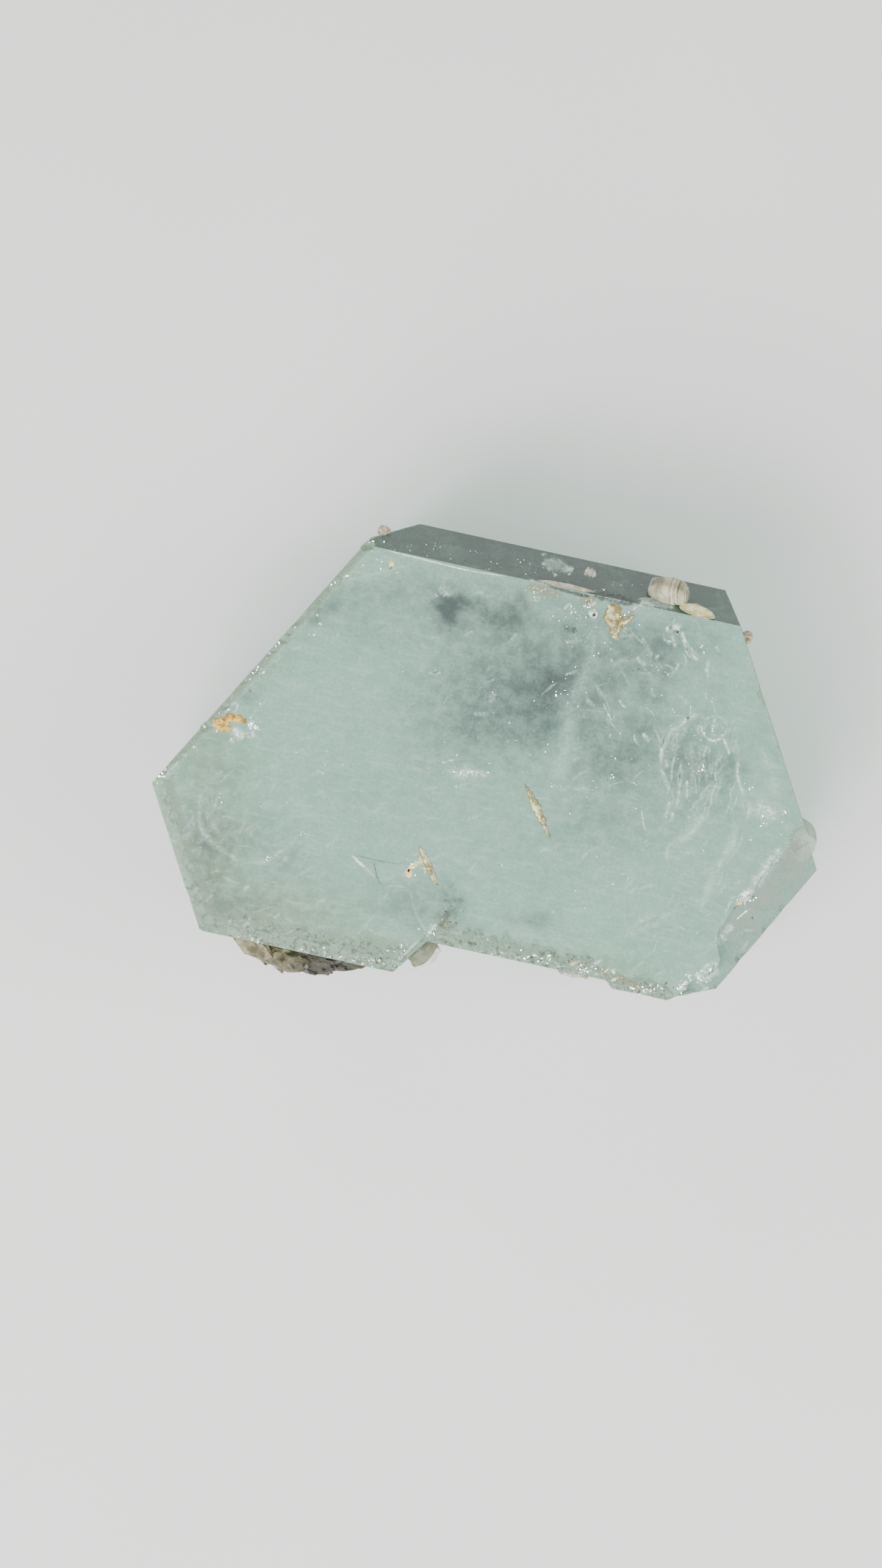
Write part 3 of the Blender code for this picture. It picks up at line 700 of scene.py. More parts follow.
def aquamarine_finish():
    """Base Color from clouds, grain and the numbers stored at the points; roughness and bump from the
    same."""
    finish, tree, shader = new_finish("milky_aquamarine")
    place = millimetres(tree)
    murk_here, warm_here, frost_here, etch_here, broken_here, pink_here, side_here = (
        stored_number(tree, label) for label in STORED
    )
    # The haze: broad clouds, a warm tint, cotton-like wisps and fine grain
    cloud = noise(tree, place, 0.13, 5.0, 0.6)
    cotton = noise(tree, place, 0.8, 8.0, 0.74)
    grain = noise(tree, place, 3.0, 4.0, 0.8)
    milk = mix(tree, ramp(tree, cloud, 0.38, 0.62), (0.422, 0.685, 0.56, 1), (0.352, 0.60, 0.50, 1))
    milk = mix(tree, math_node(tree, "MULTIPLY", warm_here, 0.95), milk, (0.315, 0.43, 0.25, 1))
    milk = mix(tree, ramp(tree, cotton, 0.38, 0.62, 0.0, 0.55), milk, (0.54, 0.765, 0.67, 1))
    milk = mix(tree, ramp(tree, grain, 0.34, 0.66, 0.42, 0.0), milk, (0.24, 0.40, 0.32, 1))
    # Pale fibres that run across the end face, and growth lines that run down the walls
    stretch = {"Vector": place, "Rotation": (0, 0, -0.5), "Scale": (0.3, 1.7, 1.0)}
    along = put(tree, "ShaderNodeMapping", stretch)
    fibres = noise(tree, along.outputs["Vector"], 1.1, 7.0, 0.72)
    milk = mix(tree, ramp(tree, fibres, 0.50, 0.68, 0.0, 0.45), milk, (0.64, 0.82, 0.74, 1))
    upright = put(tree, "ShaderNodeVectorMath", {0: place, 1: (1.0, 1.0, 0.03)}, operation="MULTIPLY")
    striae = noise(tree, upright.outputs["Vector"], 2.2, 5.0, 0.7)
    streaked = math_node(tree, "MULTIPLY", side_here, ramp(tree, striae, 0.4, 0.62, 0.0, 0.6))
    milk = mix(tree, streaked, milk, (0.24, 0.40, 0.34, 1))
    # The clear depth, and on the north bevel painted shade, shows most where murk is high, and the cotton
    # noise breaks its edges
    left_over = math_node(tree, "SUBTRACT", 1.0, math_node(tree, "MULTIPLY", murk_here, 0.9))
    swing = math_node(tree, "MULTIPLY", murk_here, left_over)
    swing = math_node(tree, "MULTIPLY", swing, ramp(tree, cotton, 0.36, 0.64, 0.62, -0.62))
    uneven = math_node(tree, "ADD", murk_here, swing)
    clear = mix(tree, ramp(tree, grain, 0.36, 0.66), (0.096, 0.124, 0.124, 1), (0.133, 0.164, 0.16, 1))
    share = math_node(tree, "POWER", math_node(tree, "MAXIMUM", uneven, 0.0), 0.8)
    colour = mix(tree, math_node(tree, "MINIMUM", share, 1.0), milk, clear)
    pale = ramp(tree, math_node(tree, "MULTIPLY", murk_here, -1.0), 0.0, 0.6, 0.0, 0.7)
    colour = mix(tree, pale, colour, (0.52, 0.73, 0.605, 1))
    # Frosted rims, the pinkish floor of the shelf, and dark and light specks in the etched band
    patchy = ramp(tree, noise(tree, place, 1.4, 5.0, 0.75), 0.34, 0.62, 0.4, 0.95)
    frost_share = math_node(tree, "MINIMUM", math_node(tree, "MULTIPLY", frost_here, patchy), 1.0)
    colour = mix(tree, frost_share, colour, (0.50, 0.67, 0.48, 1))
    colour = mix(tree, ramp(tree, frost_here, 1.0, 1.8), colour, (0.78, 0.90, 0.82, 1))
    flow = put(tree, "ShaderNodeVectorMath", {0: place, 1: (0.7, 0.7, 2.0)}, operation="MULTIPLY")
    streaks = ramp(tree, noise(tree, flow.outputs["Vector"], 0.7, 6.0, 0.7), 0.36, 0.64, 0.25, 1.0)
    colour = mix(tree, math_node(tree, "MULTIPLY", pink_here, streaks), colour, (0.52, 0.55, 0.49, 1))
    speck = ramp(tree, noise(tree, place, 1.9, 5.0, 0.8), 0.53, 0.60)
    dark_speck = math_node(tree, "MULTIPLY", etch_here, speck)
    colour = mix(tree, math_node(tree, "MULTIPLY", dark_speck, 0.8), colour, (0.15, 0.17, 0.10, 1))
    light_speck = ramp(tree, noise(tree, place, 2.6, 5.0, 0.8), 0.56, 0.63)
    light_speck = math_node(tree, "MULTIPLY", light_speck, math_node(tree, "ADD", etch_here, 0.06))
    colour = mix(tree, math_node(tree, "MULTIPLY", light_speck, 0.9), colour, (0.86, 0.95, 0.88, 1))
    tree.links.new(colour, shader.inputs["Base Color"])

    rough = math_node(tree, "MAXIMUM", frost_here, etch_here)
    rough = math_node(tree, "MAXIMUM", rough, math_node(tree, "MULTIPLY", broken_here, 0.7))
    rough = math_node(tree, "MINIMUM", rough, 1.0)
    tree.links.new(ramp(tree, rough, 0.0, 1.0, 0.16, 0.5), shader.inputs["Roughness"])

    pitting = noise(tree, place, 3.5, 5.0, 0.75)
    relief = math_node(tree, "MULTIPLY", pitting, math_node(tree, "ADD", rough, 0.05))
    grooves = math_node(tree, "MULTIPLY", math_node(tree, "MULTIPLY", striae, side_here), 0.35)
    relief = math_node(tree, "ADD", relief, grooves)
    tree.links.new(bump(tree, relief, 0.0003), shader.inputs["Normal"])

    # Shadow rays pass through most of the stone
    shade = put(tree, "ShaderNodeLightPath").outputs["Is Shadow Ray"]
    tree.links.new(ramp(tree, shade, 0.0, 1.0, 1.0, 0.35), shader.inputs["Alpha"])
    set_sockets(shader, IOR=1.577, Transmission_Weight=0.45)

    volume = put(tree, "ShaderNodeVolumeAbsorption", {"Color": (0.40, 0.76, 0.63, 1), "Density": 75.0})
    tree.links.new(volume.outputs["Volume"], tree.nodes["Material Output"].inputs["Volume"])
    return finish


AQUAMARINE = aquamarine_finish()
flat_skin = skin.reshape(-1, 3)
poles = [[MIDDLE[0], MIDDLE[1], HEIGHT], [MIDDLE[0], MIDDLE[1], 0.3]]
points = np.concatenate([flat_skin, poles])
faces = grid_faces(skin.shape[0], COLUMNS)
faces += fan_faces(0, COLUMNS, len(flat_skin))
faces += fan_faces((skin.shape[0] - 1) * COLUMNS, COLUMNS, len(flat_skin) + 1, outward=False)
stored = {
    label: np.append(np.broadcast_to(values, skin.shape[:2]).ravel(), [0.0, float(label == "broken")])
    for label, values in zip(STORED, (murk, warm, frosted, etched, broken, pink, side))
}
piece_from(
    "aquamarine_skin", points, faces, AQUAMARINE, 14.0, ["aquamarine_crystal"], stored
)

# %% [markdown]
# ## Healed cracks, and marks of painted light
# Cracks that healed while the crystal grew are thin curved sheets of tiny bubbles. Where such a sheet meets
# the end face it draws a pale line that fades and starts again. Each mark here is a ribbon that lies on the
# face along a line seen in the picture. The wide ones also have a curtain that hangs from the line into the
# stone. Their Alpha comes from noise, so they are torn and soft. A few marks are painted light instead: a
# painted shadow line and painted highlights along rims, and painted glints.

# %% Ribbons along lines


def smooth_line(line, count):
    """count points along a line of a few points, spaced by length, on a curve through them: the corners are
    cut twice, at a quarter and three quarters of each side, before the line is resampled."""
    line = np.asarray(line, float)
    for _ in range(2):
        quarter = 0.75 * line[:-1] + 0.25 * line[1:]
        three_quarters = 0.25 * line[:-1] + 0.75 * line[1:]
        cut = np.stack([quarter, three_quarters], axis=1).reshape(-1, 2)
        line = np.concatenate([line[:1], cut[1:-1], line[-1:]])
    along = np.concatenate([[0], np.cumsum(np.linalg.norm(np.diff(line, axis=0), axis=1))])
    wanted = np.linspace(0, along[-1], count)
    return np.stack([np.interp(wanted, along, line[:, i]) for i in range(2)], axis=1)


# Points along and across each ribbon, and how high it lies over the skin in mm
RUN, ACROSS, LIFT = 28, 7, 0.015


def true_level(flat):
    """Height of the skin over each place, with the narrow sloping rims as well. Halving finds the level
    where a ray from the middle gets exactly as far as the place."""
    away = flat - MIDDLE
    angle, far = np.arctan2(away[..., 1], away[..., 0]), np.linalg.norm(away, axis=-1)
    low, high = np.full(far.shape, HEIGHT - 2.5), np.full(far.shape, float(HEIGHT))
    for _ in range(12):
        half = (low + high) / 2
        inside = reach(angle, half)[0] > far
        low, high = np.where(inside, half, low), np.where(inside, high, half)
    return np.minimum(low, skin_level(flat))


def room_inside(flat):
    """How far points are inside the crystal's outline at their own level, or 0.4 mm lower for those on the
    bevel, which slopes outwards."""
    away = flat - MIDDLE
    angle = np.arctan2(away[..., 1], away[..., 0])
    level = skin_level(flat) - 0.4 * (flat[..., 1] > NORTH_RIM)
    return reach(angle, level)[0] - np.linalg.norm(away, axis=-1)


def ribbon(line, width, seed, curtain=0.0):
    """A grid along the line. Side to side it is width wide and lies 0.015 mm over the skin. If curtain is
    more than 0, it goes down into the stone instead, and leans by half its depth. Noise waves it. Also
    gives each point a fade, from 0 at every edge to 1 inside."""
    middle = smooth_line(on_face(line), RUN)
    heading = np.gradient(middle, axis=0)
    heading /= np.linalg.norm(heading, axis=1, keepdims=True)
    sideways = np.stack([-heading[:, 1], heading[:, 0]], axis=1)
    side = np.linspace(-0.5, 0.5, ACROSS)[None, :, None]
    run = np.linspace(0, 1, RUN)[:, None]
    swell = 1 + 0.35 * waves(run[..., None] * [9.0, 0, 0], 1.0, seed)[..., None]
    taper = swell * (0.5 + 0.9 * np.sin(math.pi * run[..., None]) ** 0.5)
    flat = middle[:, None, :] + sideways[:, None, :] * side * (width * taper + 0.5 * curtain)
    place = np.concatenate([flat, 0 * flat[..., :1]], axis=2)
    wobble = np.stack([waves(place, 1.5, seed), waves(place, 1.5, seed + 50)], axis=-1)
    flat = flat + 0.10 * width * wobble
    level = skin_level(flat)[..., None] + LIFT - (side + 0.5) * curtain - 0.1 * (curtain > 0)
    fade = smooth(np.minimum(run, 1 - run), 0.0, 0.15) * smooth(0.5 - np.abs(side[..., 0]), 0.0, 0.5)
    fade = fade * smooth(room_inside(flat), 0.02, 0.15)
    return np.concatenate([flat, level], axis=2).reshape(-1, 3), fade.ravel()


MILK, WHITE, TAN, DARK, PINKISH, YELLOW = range(6)
# Each mark: its tone, its width in mm, its strength, the depth of its curtain in mm, and its line in pixels
MARKS = [
    (MILK, 0.7, 0.40, 1.6, [(275, 1069), (272, 1094), (271, 1116), (278, 1135), (291, 1149), (311, 1163)]),
    (MILK, 0.6, 0.45, 1.6,
     [(300, 1157), (325, 1170), (344, 1173), (363, 1171), (377, 1163), (394, 1149), (408, 1133)]),
    (MILK, 0.8, 0.3, 0, [(286, 1072), (280, 1090), (284, 1115), (303, 1140)]),
    (MILK, 1.0, 0.3, 0, [(255, 1065), (272, 1069), (290, 1080)]),
    (MILK, 0.5, 0.4, 0, [(341, 1130), (343, 1141)]),
    (MILK, 0.5, 0.35, 0, [(351, 1122), (341, 1130)]),
    (MILK, 0.6, 0.85, 1.5,
     [(955, 970), (939, 975), (928, 985), (908, 998), (903, 1009), (900, 1026), (898, 1046)]),
    (MILK, 0.42, 0.8, 1.2, [(898, 1040), (904, 1059), (911, 1073), (910, 1104), (900, 1112)]),
    (MILK, 0.8, 0.5, 0, [(940, 985), (922, 1000), (918, 1016), (919, 1030)]),
    (MILK, 0.3, 0.6, 0.8, [(918, 1006), (919, 1026), (914, 1042), (913, 1066)]),
    (MILK, 0.35, 0.55, 1.0, [(928, 1030), (926, 1043), (924, 1082), (918, 1108)]),
    (MILK, 0.5, 0.35, 0, [(939, 1006), (943, 1046), (939, 1089)]),
    (MILK, 0.28, 0.35, 0, [(951, 1010), (954, 1046), (950, 1075)]),
    (MILK, 0.45, 0.7, 1.2,
     [(999, 994), (1002, 1016), (1004, 1036), (1002, 1052), (1010, 1076), (1015, 1095), (1015, 1110)]),
    (MILK, 0.7, 0.75, 1.6,
     [(984, 1048), (976, 1069), (964, 1095), (954, 1115), (939, 1132), (926, 1143), (911, 1149)]),
    (MILK, 0.45, 0.7, 0, [(926, 1145), (912, 1148), (908, 1160), (906, 1172)]),
    (MILK, 0.4, 0.65, 0, [(966, 1069), (956, 1085), (944, 1094), (938, 1104), (936, 1122)]),
    (MILK, 0.22, 0.5, 0, [(992, 1060), (994, 1082), (994, 1112)]),
    (MILK, 0.9, 0.45, 1.6, [(1005, 1118), (999, 1142), (986, 1165), (971, 1188), (962, 1214), (952, 1243)]),
    # Painted glints: the next white arc of a ring, and the white dot and white streak after its milky arc
    (WHITE, 0.25, 0.8, 0, [(955, 991), (959, 1002), (968, 1008), (977, 1007), (985, 1001), (990, 988)]),
    (MILK, 0.3, 0.5, 0, [(990, 990), (985, 977), (974, 973), (963, 976), (957, 986)]),
    (WHITE, 0.3, 0.7, 0, [(951, 986), (957, 993), (953, 998)]),
    (WHITE, 0.15, 0.9, 0, [(873, 1101), (874, 1112), (878, 1131)]),
    (MILK, 1.5, 0.55, 0, [(852, 1271), (873, 1258), (898, 1248)]),
    (WHITE, 0.5, 0.5, 0, [(858, 1266), (873, 1258), (894, 1250)]),
    (MILK, 0.5, 0.35, 0, [(884, 1257), (905, 1247), (929, 1231), (950, 1214)]),
    (MILK, 0.6, 0.45, 0, [(846, 1297), (858, 1296), (866, 1294)]),
    (MILK, 0.3, 0.35, 0, [(890, 1327), (900, 1323), (908, 1319)]),
    (MILK, 1.5, 0.22, 2.0, [(806, 880), (794, 925), (779, 965), (772, 1000), (765, 1045), (750, 1070)]),
    (MILK, 0.9, 1.6, 0, [(903, 857), (912, 856), (921, 855), (929, 859)]),
    (MILK, 0.5, 1.2, 0.8, [(926, 856), (930, 866), (934, 878), (940, 889), (952, 901)]),
    (WHITE, 0.2, 0.6, 0, [(932, 874), (939, 886), (948, 894)]),
    (MILK, 0.4, 0.55, 0.6, [(874, 870), (882, 884), (886, 896)]),
    (MILK, 0.3, 0.5, 0, [(903, 903), (911, 906), (918, 913), (912, 918), (904, 913)]),
    (MILK, 0.5, 0.5, 0, [(795, 943), (799, 953), (812, 962)]),
    (MILK, 0.4, 0.35, 0, [(765, 1072), (790, 1073), (805, 1075)]),
    (MILK, 0.6, 0.4, 0, [(769, 1085), (768, 1100)]),
    (MILK, 1.2, 0.8, 0, [(612, 1055), (632, 1050), (652, 1053), (668, 1052)]),
    (MILK, 0.7, 0.4, 0, [(505, 1107), (517, 1098), (528, 1088)]),
    (WHITE, 0.32, 1.5, 0, [(478, 1163), (492, 1176), (500, 1184), (511, 1194)]),
    (PINKISH, 0.4, 0.5, 0, [(494, 1179), (504, 1188), (511, 1194)]),
    (DARK, 0.12, 0.7, 0, [(508, 1170), (510, 1180), (514, 1197), (521, 1206)]),
    (DARK, 0.12, 0.4, 0, [(480, 1163), (504, 1168), (528, 1174), (552, 1175)]),
    (MILK, 0.2, 0.4, 0, [(526, 1206), (536, 1204), (554, 1208)]),
    (MILK, 0.26, 0.36, 0, [(556, 1206), (559, 1220), (563, 1235), (569, 1250), (578, 1264), (588, 1279)]),
    (WHITE, 0.4, 0.8, 0, [(580, 1277), (586, 1266), (595, 1256)]),
    (MILK, 0.25, 0.35, 0, [(578, 1172), (600, 1163), (630, 1152)]),
    (MILK, 0.3, 0.3, 0, [(484, 1272), (500, 1256), (512, 1242)]),
    (DARK, 0.7, 0.4, 0, [(598, 1262), (606, 1250), (612, 1236)]),
    (DARK, 0.5, 0.35, 0, [(600, 1224), (616, 1226), (632, 1224)]),
    (TAN, 0.8, 0.4, 0, [(598, 1268), (606, 1258), (612, 1246)]),
    (YELLOW, 0.5, 1.3, 0, [(553, 1189), (557, 1181), (568, 1174), (577, 1170)]),
    (YELLOW, 0.75, 1.8, 0, [(555, 1194), (556, 1188), (559, 1182)]),
    (DARK, 0.3, 0.5, 0, [(570, 1151), (572, 1158), (575, 1164)]),
    # Painted highlight: a thin white line along the north rim
    (WHITE, 0.13, 1.2, 0, [(500, 741), (522, 747), (560, 757), (600, 767), (640, 777), (700, 786)]),
    (MILK, 0.3, 0.3, 0, [(461, 794), (488, 785), (524, 777), (571, 765)]),
    (MILK, 1.1, 1.5, 0, [(741, 765), (752, 763), (764, 768), (772, 771)]),
    (MILK, 1.2, 1.4, 0, [(744, 768), (754, 767), (764, 770)]),
    (MILK, 0.7, 1.8, 0, [(764, 771), (774, 772), (783, 773)]),
    (PINKISH, 0.8, 1.8, 0, [(797, 774), (804, 777), (813, 779)]),
    (WHITE, 0.16, 0.5, 0, [(798, 776), (804, 780), (811, 778), (805, 774)]),
    # Painted shadow: the next two dark lines along the north rim, where the end face stands above the bevel
    (DARK, 0.32, 1.5, 0, [(741, 795), (760, 801), (784, 808), (806, 812)]),
    (DARK, 0.75, 1.6, 0, [(806, 809), (826, 812), (846, 816), (866, 821)]),
    (PINKISH, 0.35, 0.8, 0, [(717, 789), (733, 792), (752, 796)]),
    (TAN, 1.1, 0.5, 0, [(716, 796), (735, 803), (765, 811)]),
    (TAN, 0.9, 0.75, 0, [(787, 818), (797, 816), (811, 814)]),
    (PINKISH, 0.6, 0.6, 0, [(794, 824), (802, 822), (812, 819)]),
    (WHITE, 0.3, 0.6, 0, [(766, 829), (771, 825), (777, 820)]),
    (WHITE, 0.16, 0.8, 0, [(864, 816), (874, 813), (886, 815), (906, 818), (925, 820)]),
    (WHITE, 0.18, 0.7, 0, [(857, 834), (862, 829), (868, 824), (880, 824)]),
    (MILK, 1.0, 1.4, 0, [(866, 823), (885, 820), (905, 822), (922, 824)]),
    (WHITE, 0.2, 0.85, 0, [(927, 828), (940, 834), (955, 840), (969, 843)]),
    (TAN, 0.35, 0.8, 0, [(848, 838), (855, 836), (862, 831)]),
    (WHITE, 0.75, 1.8, 0, [(803, 838), (807, 835), (813, 838)]),
    (DARK, 0.3, 0.8, 0, [(796, 839), (801, 839)]),
    (DARK, 0.5, 1.8, 0, [(778, 856), (783, 858)]),
    (DARK, 0.3, 0.6, 0, [(850, 867), (849, 871)]),
    (MILK, 0.35, 0.7, 0, [(314, 962), (317, 955), (323, 957), (322, 966), (315, 972)]),
    (WHITE, 1.1, 0.9, 0, [(317, 991), (324, 998), (333, 1006)]),
    # Painted glints: the next four white marks beside the western grain
    (WHITE, 0.45, 0.95, 0, [(337, 986), (341, 984), (347, 981)]),
    (WHITE, 0.3, 0.9, 0, [(338, 987), (340, 990), (342, 993)]),
    (WHITE, 0.3, 0.95, 0, [(338, 1001), (343, 997), (347, 995)]),
    (WHITE, 0.25, 0.8, 0, [(345, 992), (349, 990), (352, 988)]),
    (WHITE, 0.7, 1.5, 0, [(1004, 1225), (1012, 1218), (1022, 1211), (1029, 1209)]),
    (YELLOW, 0.4, 1.2, 0, [(1000, 1232), (1009, 1226), (1018, 1218)]),
    (WHITE, 1.2, 1.0, 0, [(944, 1331), (956, 1328), (968, 1322), (978, 1312)]),
    (WHITE, 0.45, 1.6, 0, [(923, 1348), (928, 1341), (936, 1335)]),
    (WHITE, 0.16, 0.6, 0, [(1028, 1212), (1033, 1198), (1046, 1181), (1062, 1162), (1078, 1147)]),
    (MILK, 0.16, 0.5, 0, [(976, 1300), (978, 1282), (980, 1264), (996, 1240)]),
    (TAN, 0.14, 0.8, 0, [(1108, 1143), (1098, 1149), (1086, 1156), (1078, 1160)]),
    # Painted glints: the next two white marks
    (WHITE, 0.7, 0.5, 0, [(1033, 1112), (1040, 1117), (1043, 1124)]),
    (WHITE, 0.4, 0.85, 0, [(1061, 1102), (1066, 1104), (1069, 1106)]),
    (TAN, 0.6, 0.8, 0, [(836, 1326), (852, 1334), (870, 1344), (886, 1349)]),
    (YELLOW, 0.35, 0.9, 0, [(774, 1314), (782, 1310), (790, 1308)]),
    (WHITE, 0.35, 0.6, 0, [(803, 1316), (811, 1310), (819, 1304)]),
    (TAN, 0.7, 0.4, 0, [(815, 1326), (822, 1316), (828, 1302)]),
    # Painted highlight: a white line along the lobe's rim beside the notch
    (WHITE, 0.25, 0.5, 0, [(532, 1317), (548, 1301), (562, 1286), (574, 1277)]),
    (DARK, 0.4, 0.5, 0, [(500, 1302), (508, 1303), (514, 1306)]),
    (DARK, 0.3, 0.55, 0, [(503, 1315), (508, 1313)]),
    (DARK, 0.45, 0.4, 0, [(352, 1278), (358, 1279), (364, 1283)]),
    (WHITE, 0.3, 0.6, 0, [(214, 1060), (222, 1054), (228, 1045)]),
    (TAN, 0.5, 0.35, 0, [(460, 790), (468, 787), (474, 782)]),
    # Painted glint: the next white mark
    (WHITE, 0.35, 0.8, 0, [(466, 787), (470, 785), (473, 784)]),
    (YELLOW, 0.55, 2.0, 0, [(529, 768), (532, 768), (536, 769)]),
    (TAN, 0.4, 2.0, 0, [(531, 772), (533, 774)]),
    (DARK, 0.22, 2.0, 0, [(1025, 1219), (1027, 1221)]),
    (DARK, 0.18, 2.0, 0, [(999, 1235), (1001, 1237)]),
    (DARK, 0.22, 1.6, 0, [(1024, 1249), (1027, 1250)]),
    (MILK, 1.4, 0.9, 0, [(1020, 1213), (1035, 1193), (1048, 1174), (1068, 1151)]),
    (MILK, 2.2, 0.7, 0, [(1008, 1100), (1040, 1098), (1066, 1112)]),
    (MILK, 1.6, 0.3, 0, [(1035, 1010), (1050, 1050), (1060, 1090)]),
    (WHITE, 0.2, 1.2, 0, [(1003, 1252), (1012, 1243), (1020, 1238)]),
    (MILK, 0.8, 0.9, 0, [(975, 1290), (985, 1272), (1000, 1255)]),
    (MILK, 0.5, 1.0, 0, [(583, 917), (592, 915), (601, 916)]),
    (MILK, 0.8, 0.6, 0, [(596, 798), (605, 803), (614, 812)]),
    (MILK, 0.6, 0.5, 0, [(640, 800), (655, 806), (668, 814)]),
    # Painted glint: the next white mark
    (WHITE, 0.25, 0.9, 0, [(360, 1171), (366, 1168), (371, 1164)]),
    (MILK, 0.9, 0.6, 0, [(222, 1062), (231, 1049), (246, 1034)]),
    (MILK, 1.0, 0.5, 0, [(950, 1345), (960, 1330), (978, 1316)]),
]
# Colour of each tone, in the order of their names above
TONES = np.array([
    (0.60, 0.78, 0.70), (0.90, 1.0, 0.95), (0.33, 0.31, 0.17), (0.07, 0.085, 0.075), (0.76, 0.72, 0.62),
    (0.90, 0.78, 0.36),
])


def mark_finish():
    """The tone stored at the points, and Alpha from the stored strength, torn by two sizes of noise."""
    finish, tree, shader = new_finish("crack_stain_and_painted_light")
    place = millimetres(tree)
    wisps = ramp(tree, noise(tree, place, 0.9, 5.0, 0.7), 0.32, 0.60, 0.3, 1.0)
    dots = ramp(tree, noise(tree, place, 3.5, 5.0, 0.75), 0.36, 0.62, 0.3, 1.0)
    torn = math_node(tree, "MULTIPLY", wisps, dots)
    torn = math_node(tree, "MULTIPLY", torn, stored_number(tree, "strength"))
    torn = math_node(tree, "MINIMUM", torn, 1.0)
    tree.links.new(torn, shader.inputs["Alpha"])
    tone = put(tree, "ShaderNodeAttribute", attribute_name="tone").outputs["Color"]
    tree.links.new(mix(tree, ramp(tree, dots, 0.4, 1.0, 0.2, 0.0), tone, (0.2, 0.25, 0.22, 1)),
                   shader.inputs["Base Color"])
    set_sockets(shader, Roughness=0.5)
    return finish


def add_tones(piece, tones):
    """Stores a colour at each point."""
    store = piece.data.attributes.new("tone", "FLOAT_COLOR", "POINT")
    full = np.column_stack([tones, np.ones(len(tones))]).astype(np.float32)
    store.data.foreach_set("color", full.ravel())


def beside(marks, copies, seed):
    """For each milky mark that is not thin, some narrower copies of a part of its line, moved sideways at
    random by up to its width. They make it look like cotton."""
    rng = np.random.default_rng(seed)
    more = []
    for tone, width, strength, curtain, line in marks:
        if tone in (MILK, WHITE) and 0.4 <= width < 1.4:
            guide = smooth_line(line, 60)
            for _ in range(copies):
                start = rng.integers(0, 34)
                part = guide[start : start + rng.integers(12, 26) : 5] + rng.normal(size=2) * width * 7
                part = part + rng.normal(size=part.shape) * 1.2
                more.append((tone, width * rng.uniform(0.2, 0.45), strength * rng.uniform(0.5, 1.1), 0, part))
    return more


def faint_marks(count, low, high, turn_middle, seed, strongest):
    """Short milky lines at random pixels between low and high, which run mostly along one direction."""
    rng = np.random.default_rng(seed)
    marks = []
    for _ in range(count):
        right, down = rng.uniform(low, high)
        turn, length = rng.normal(turn_middle, 0.35), rng.uniform(8, 34)
        step = np.array([math.cos(turn), math.sin(turn)]) * length / 2
        bend = rng.normal(size=2) * 2
        start, end = (right - step[0], down - step[1]), (right + step[0], down + step[1])
        line = [start, (right + bend[0], down + bend[1]), end]
        marks.append((MILK, rng.uniform(0.12, 0.5), rng.uniform(0.3, 1.0) * strongest, 0, line))
    return marks


# Faint marks: how many, the corners of their area in pixels, their main direction, a seed and their strength
FAINT = [
    (110, (300, 830), (990, 1270), -0.35, 8, 0.5),
    (46, (905, 975), (1000, 1115), 1.75, 9, 0.9),
    (46, (800, 850), (985, 1010), 1.2, 10, 0.8),
    (50, (250, 1040), (440, 1270), -0.5, 13, 0.55),
    (30, (850, 1180), (1020, 1320), -0.6, 14, 0.6),
]
STRONGER = 1.6
all_marks = MARKS + beside(MARKS, 3, seed=12)
for row in FAINT:
    all_marks += faint_marks(*row)
points, strengths, tones = [], [], []
for number, (tone, width, strength, curtain, line) in enumerate(all_marks):
    for depth in (0.0, curtain) if curtain else (0.0,):
        sheet_points, fade = ribbon(line, width, number, depth)
        points.append(sheet_points)
        strengths.append(fade * strength * STRONGER)
        tones.append(np.tile(TONES[tone], (len(sheet_points), 1)))
faces = []
for number in range(len(points)):
    faces += grid_faces(RUN, ACROSS, first=RUN * ACROSS * number, closed=False)
marks = piece_from(
    "cracks_stains_and_painted_light", np.concatenate(points), faces, mark_finish(),
    attributes={"strength": np.concatenate(strengths)},
)
add_tones(marks, np.concatenate(tones))

# %% [markdown]
# ## Glints and flecks
# Tiny flat flakes and bubbles at the surface catch the light as white points. They are thin plates, a
# fraction of a millimetre across, that lie on the skin. One function makes any number of plates at once: a
# ring of points below and above, turned to face along each plate's own direction. The glints lean half way
# between the camera and the main light, because only such plates flash. The flecks lie flat. They are
# specks of mica, iron stain and chalky white that crowd along the rims, and each has a colour of its own.
# The white ones are partly chalky white and partly painted glints.

# %% Plates in bulk, and the glints


def turned_frames(normals, headings):
    """Three directions for each plate: its long one, which is the heading without its part along the
    normal, the one across it, and the normal itself."""
    normals = normals / np.linalg.norm(normals, axis=1, keepdims=True)
    long_way = headings - (headings * normals).sum(axis=1, keepdims=True) * normals
    long_way /= np.linalg.norm(long_way, axis=1, keepdims=True)
    return long_way, np.cross(normals, long_way), normals


PLATE_CORNERS = 10


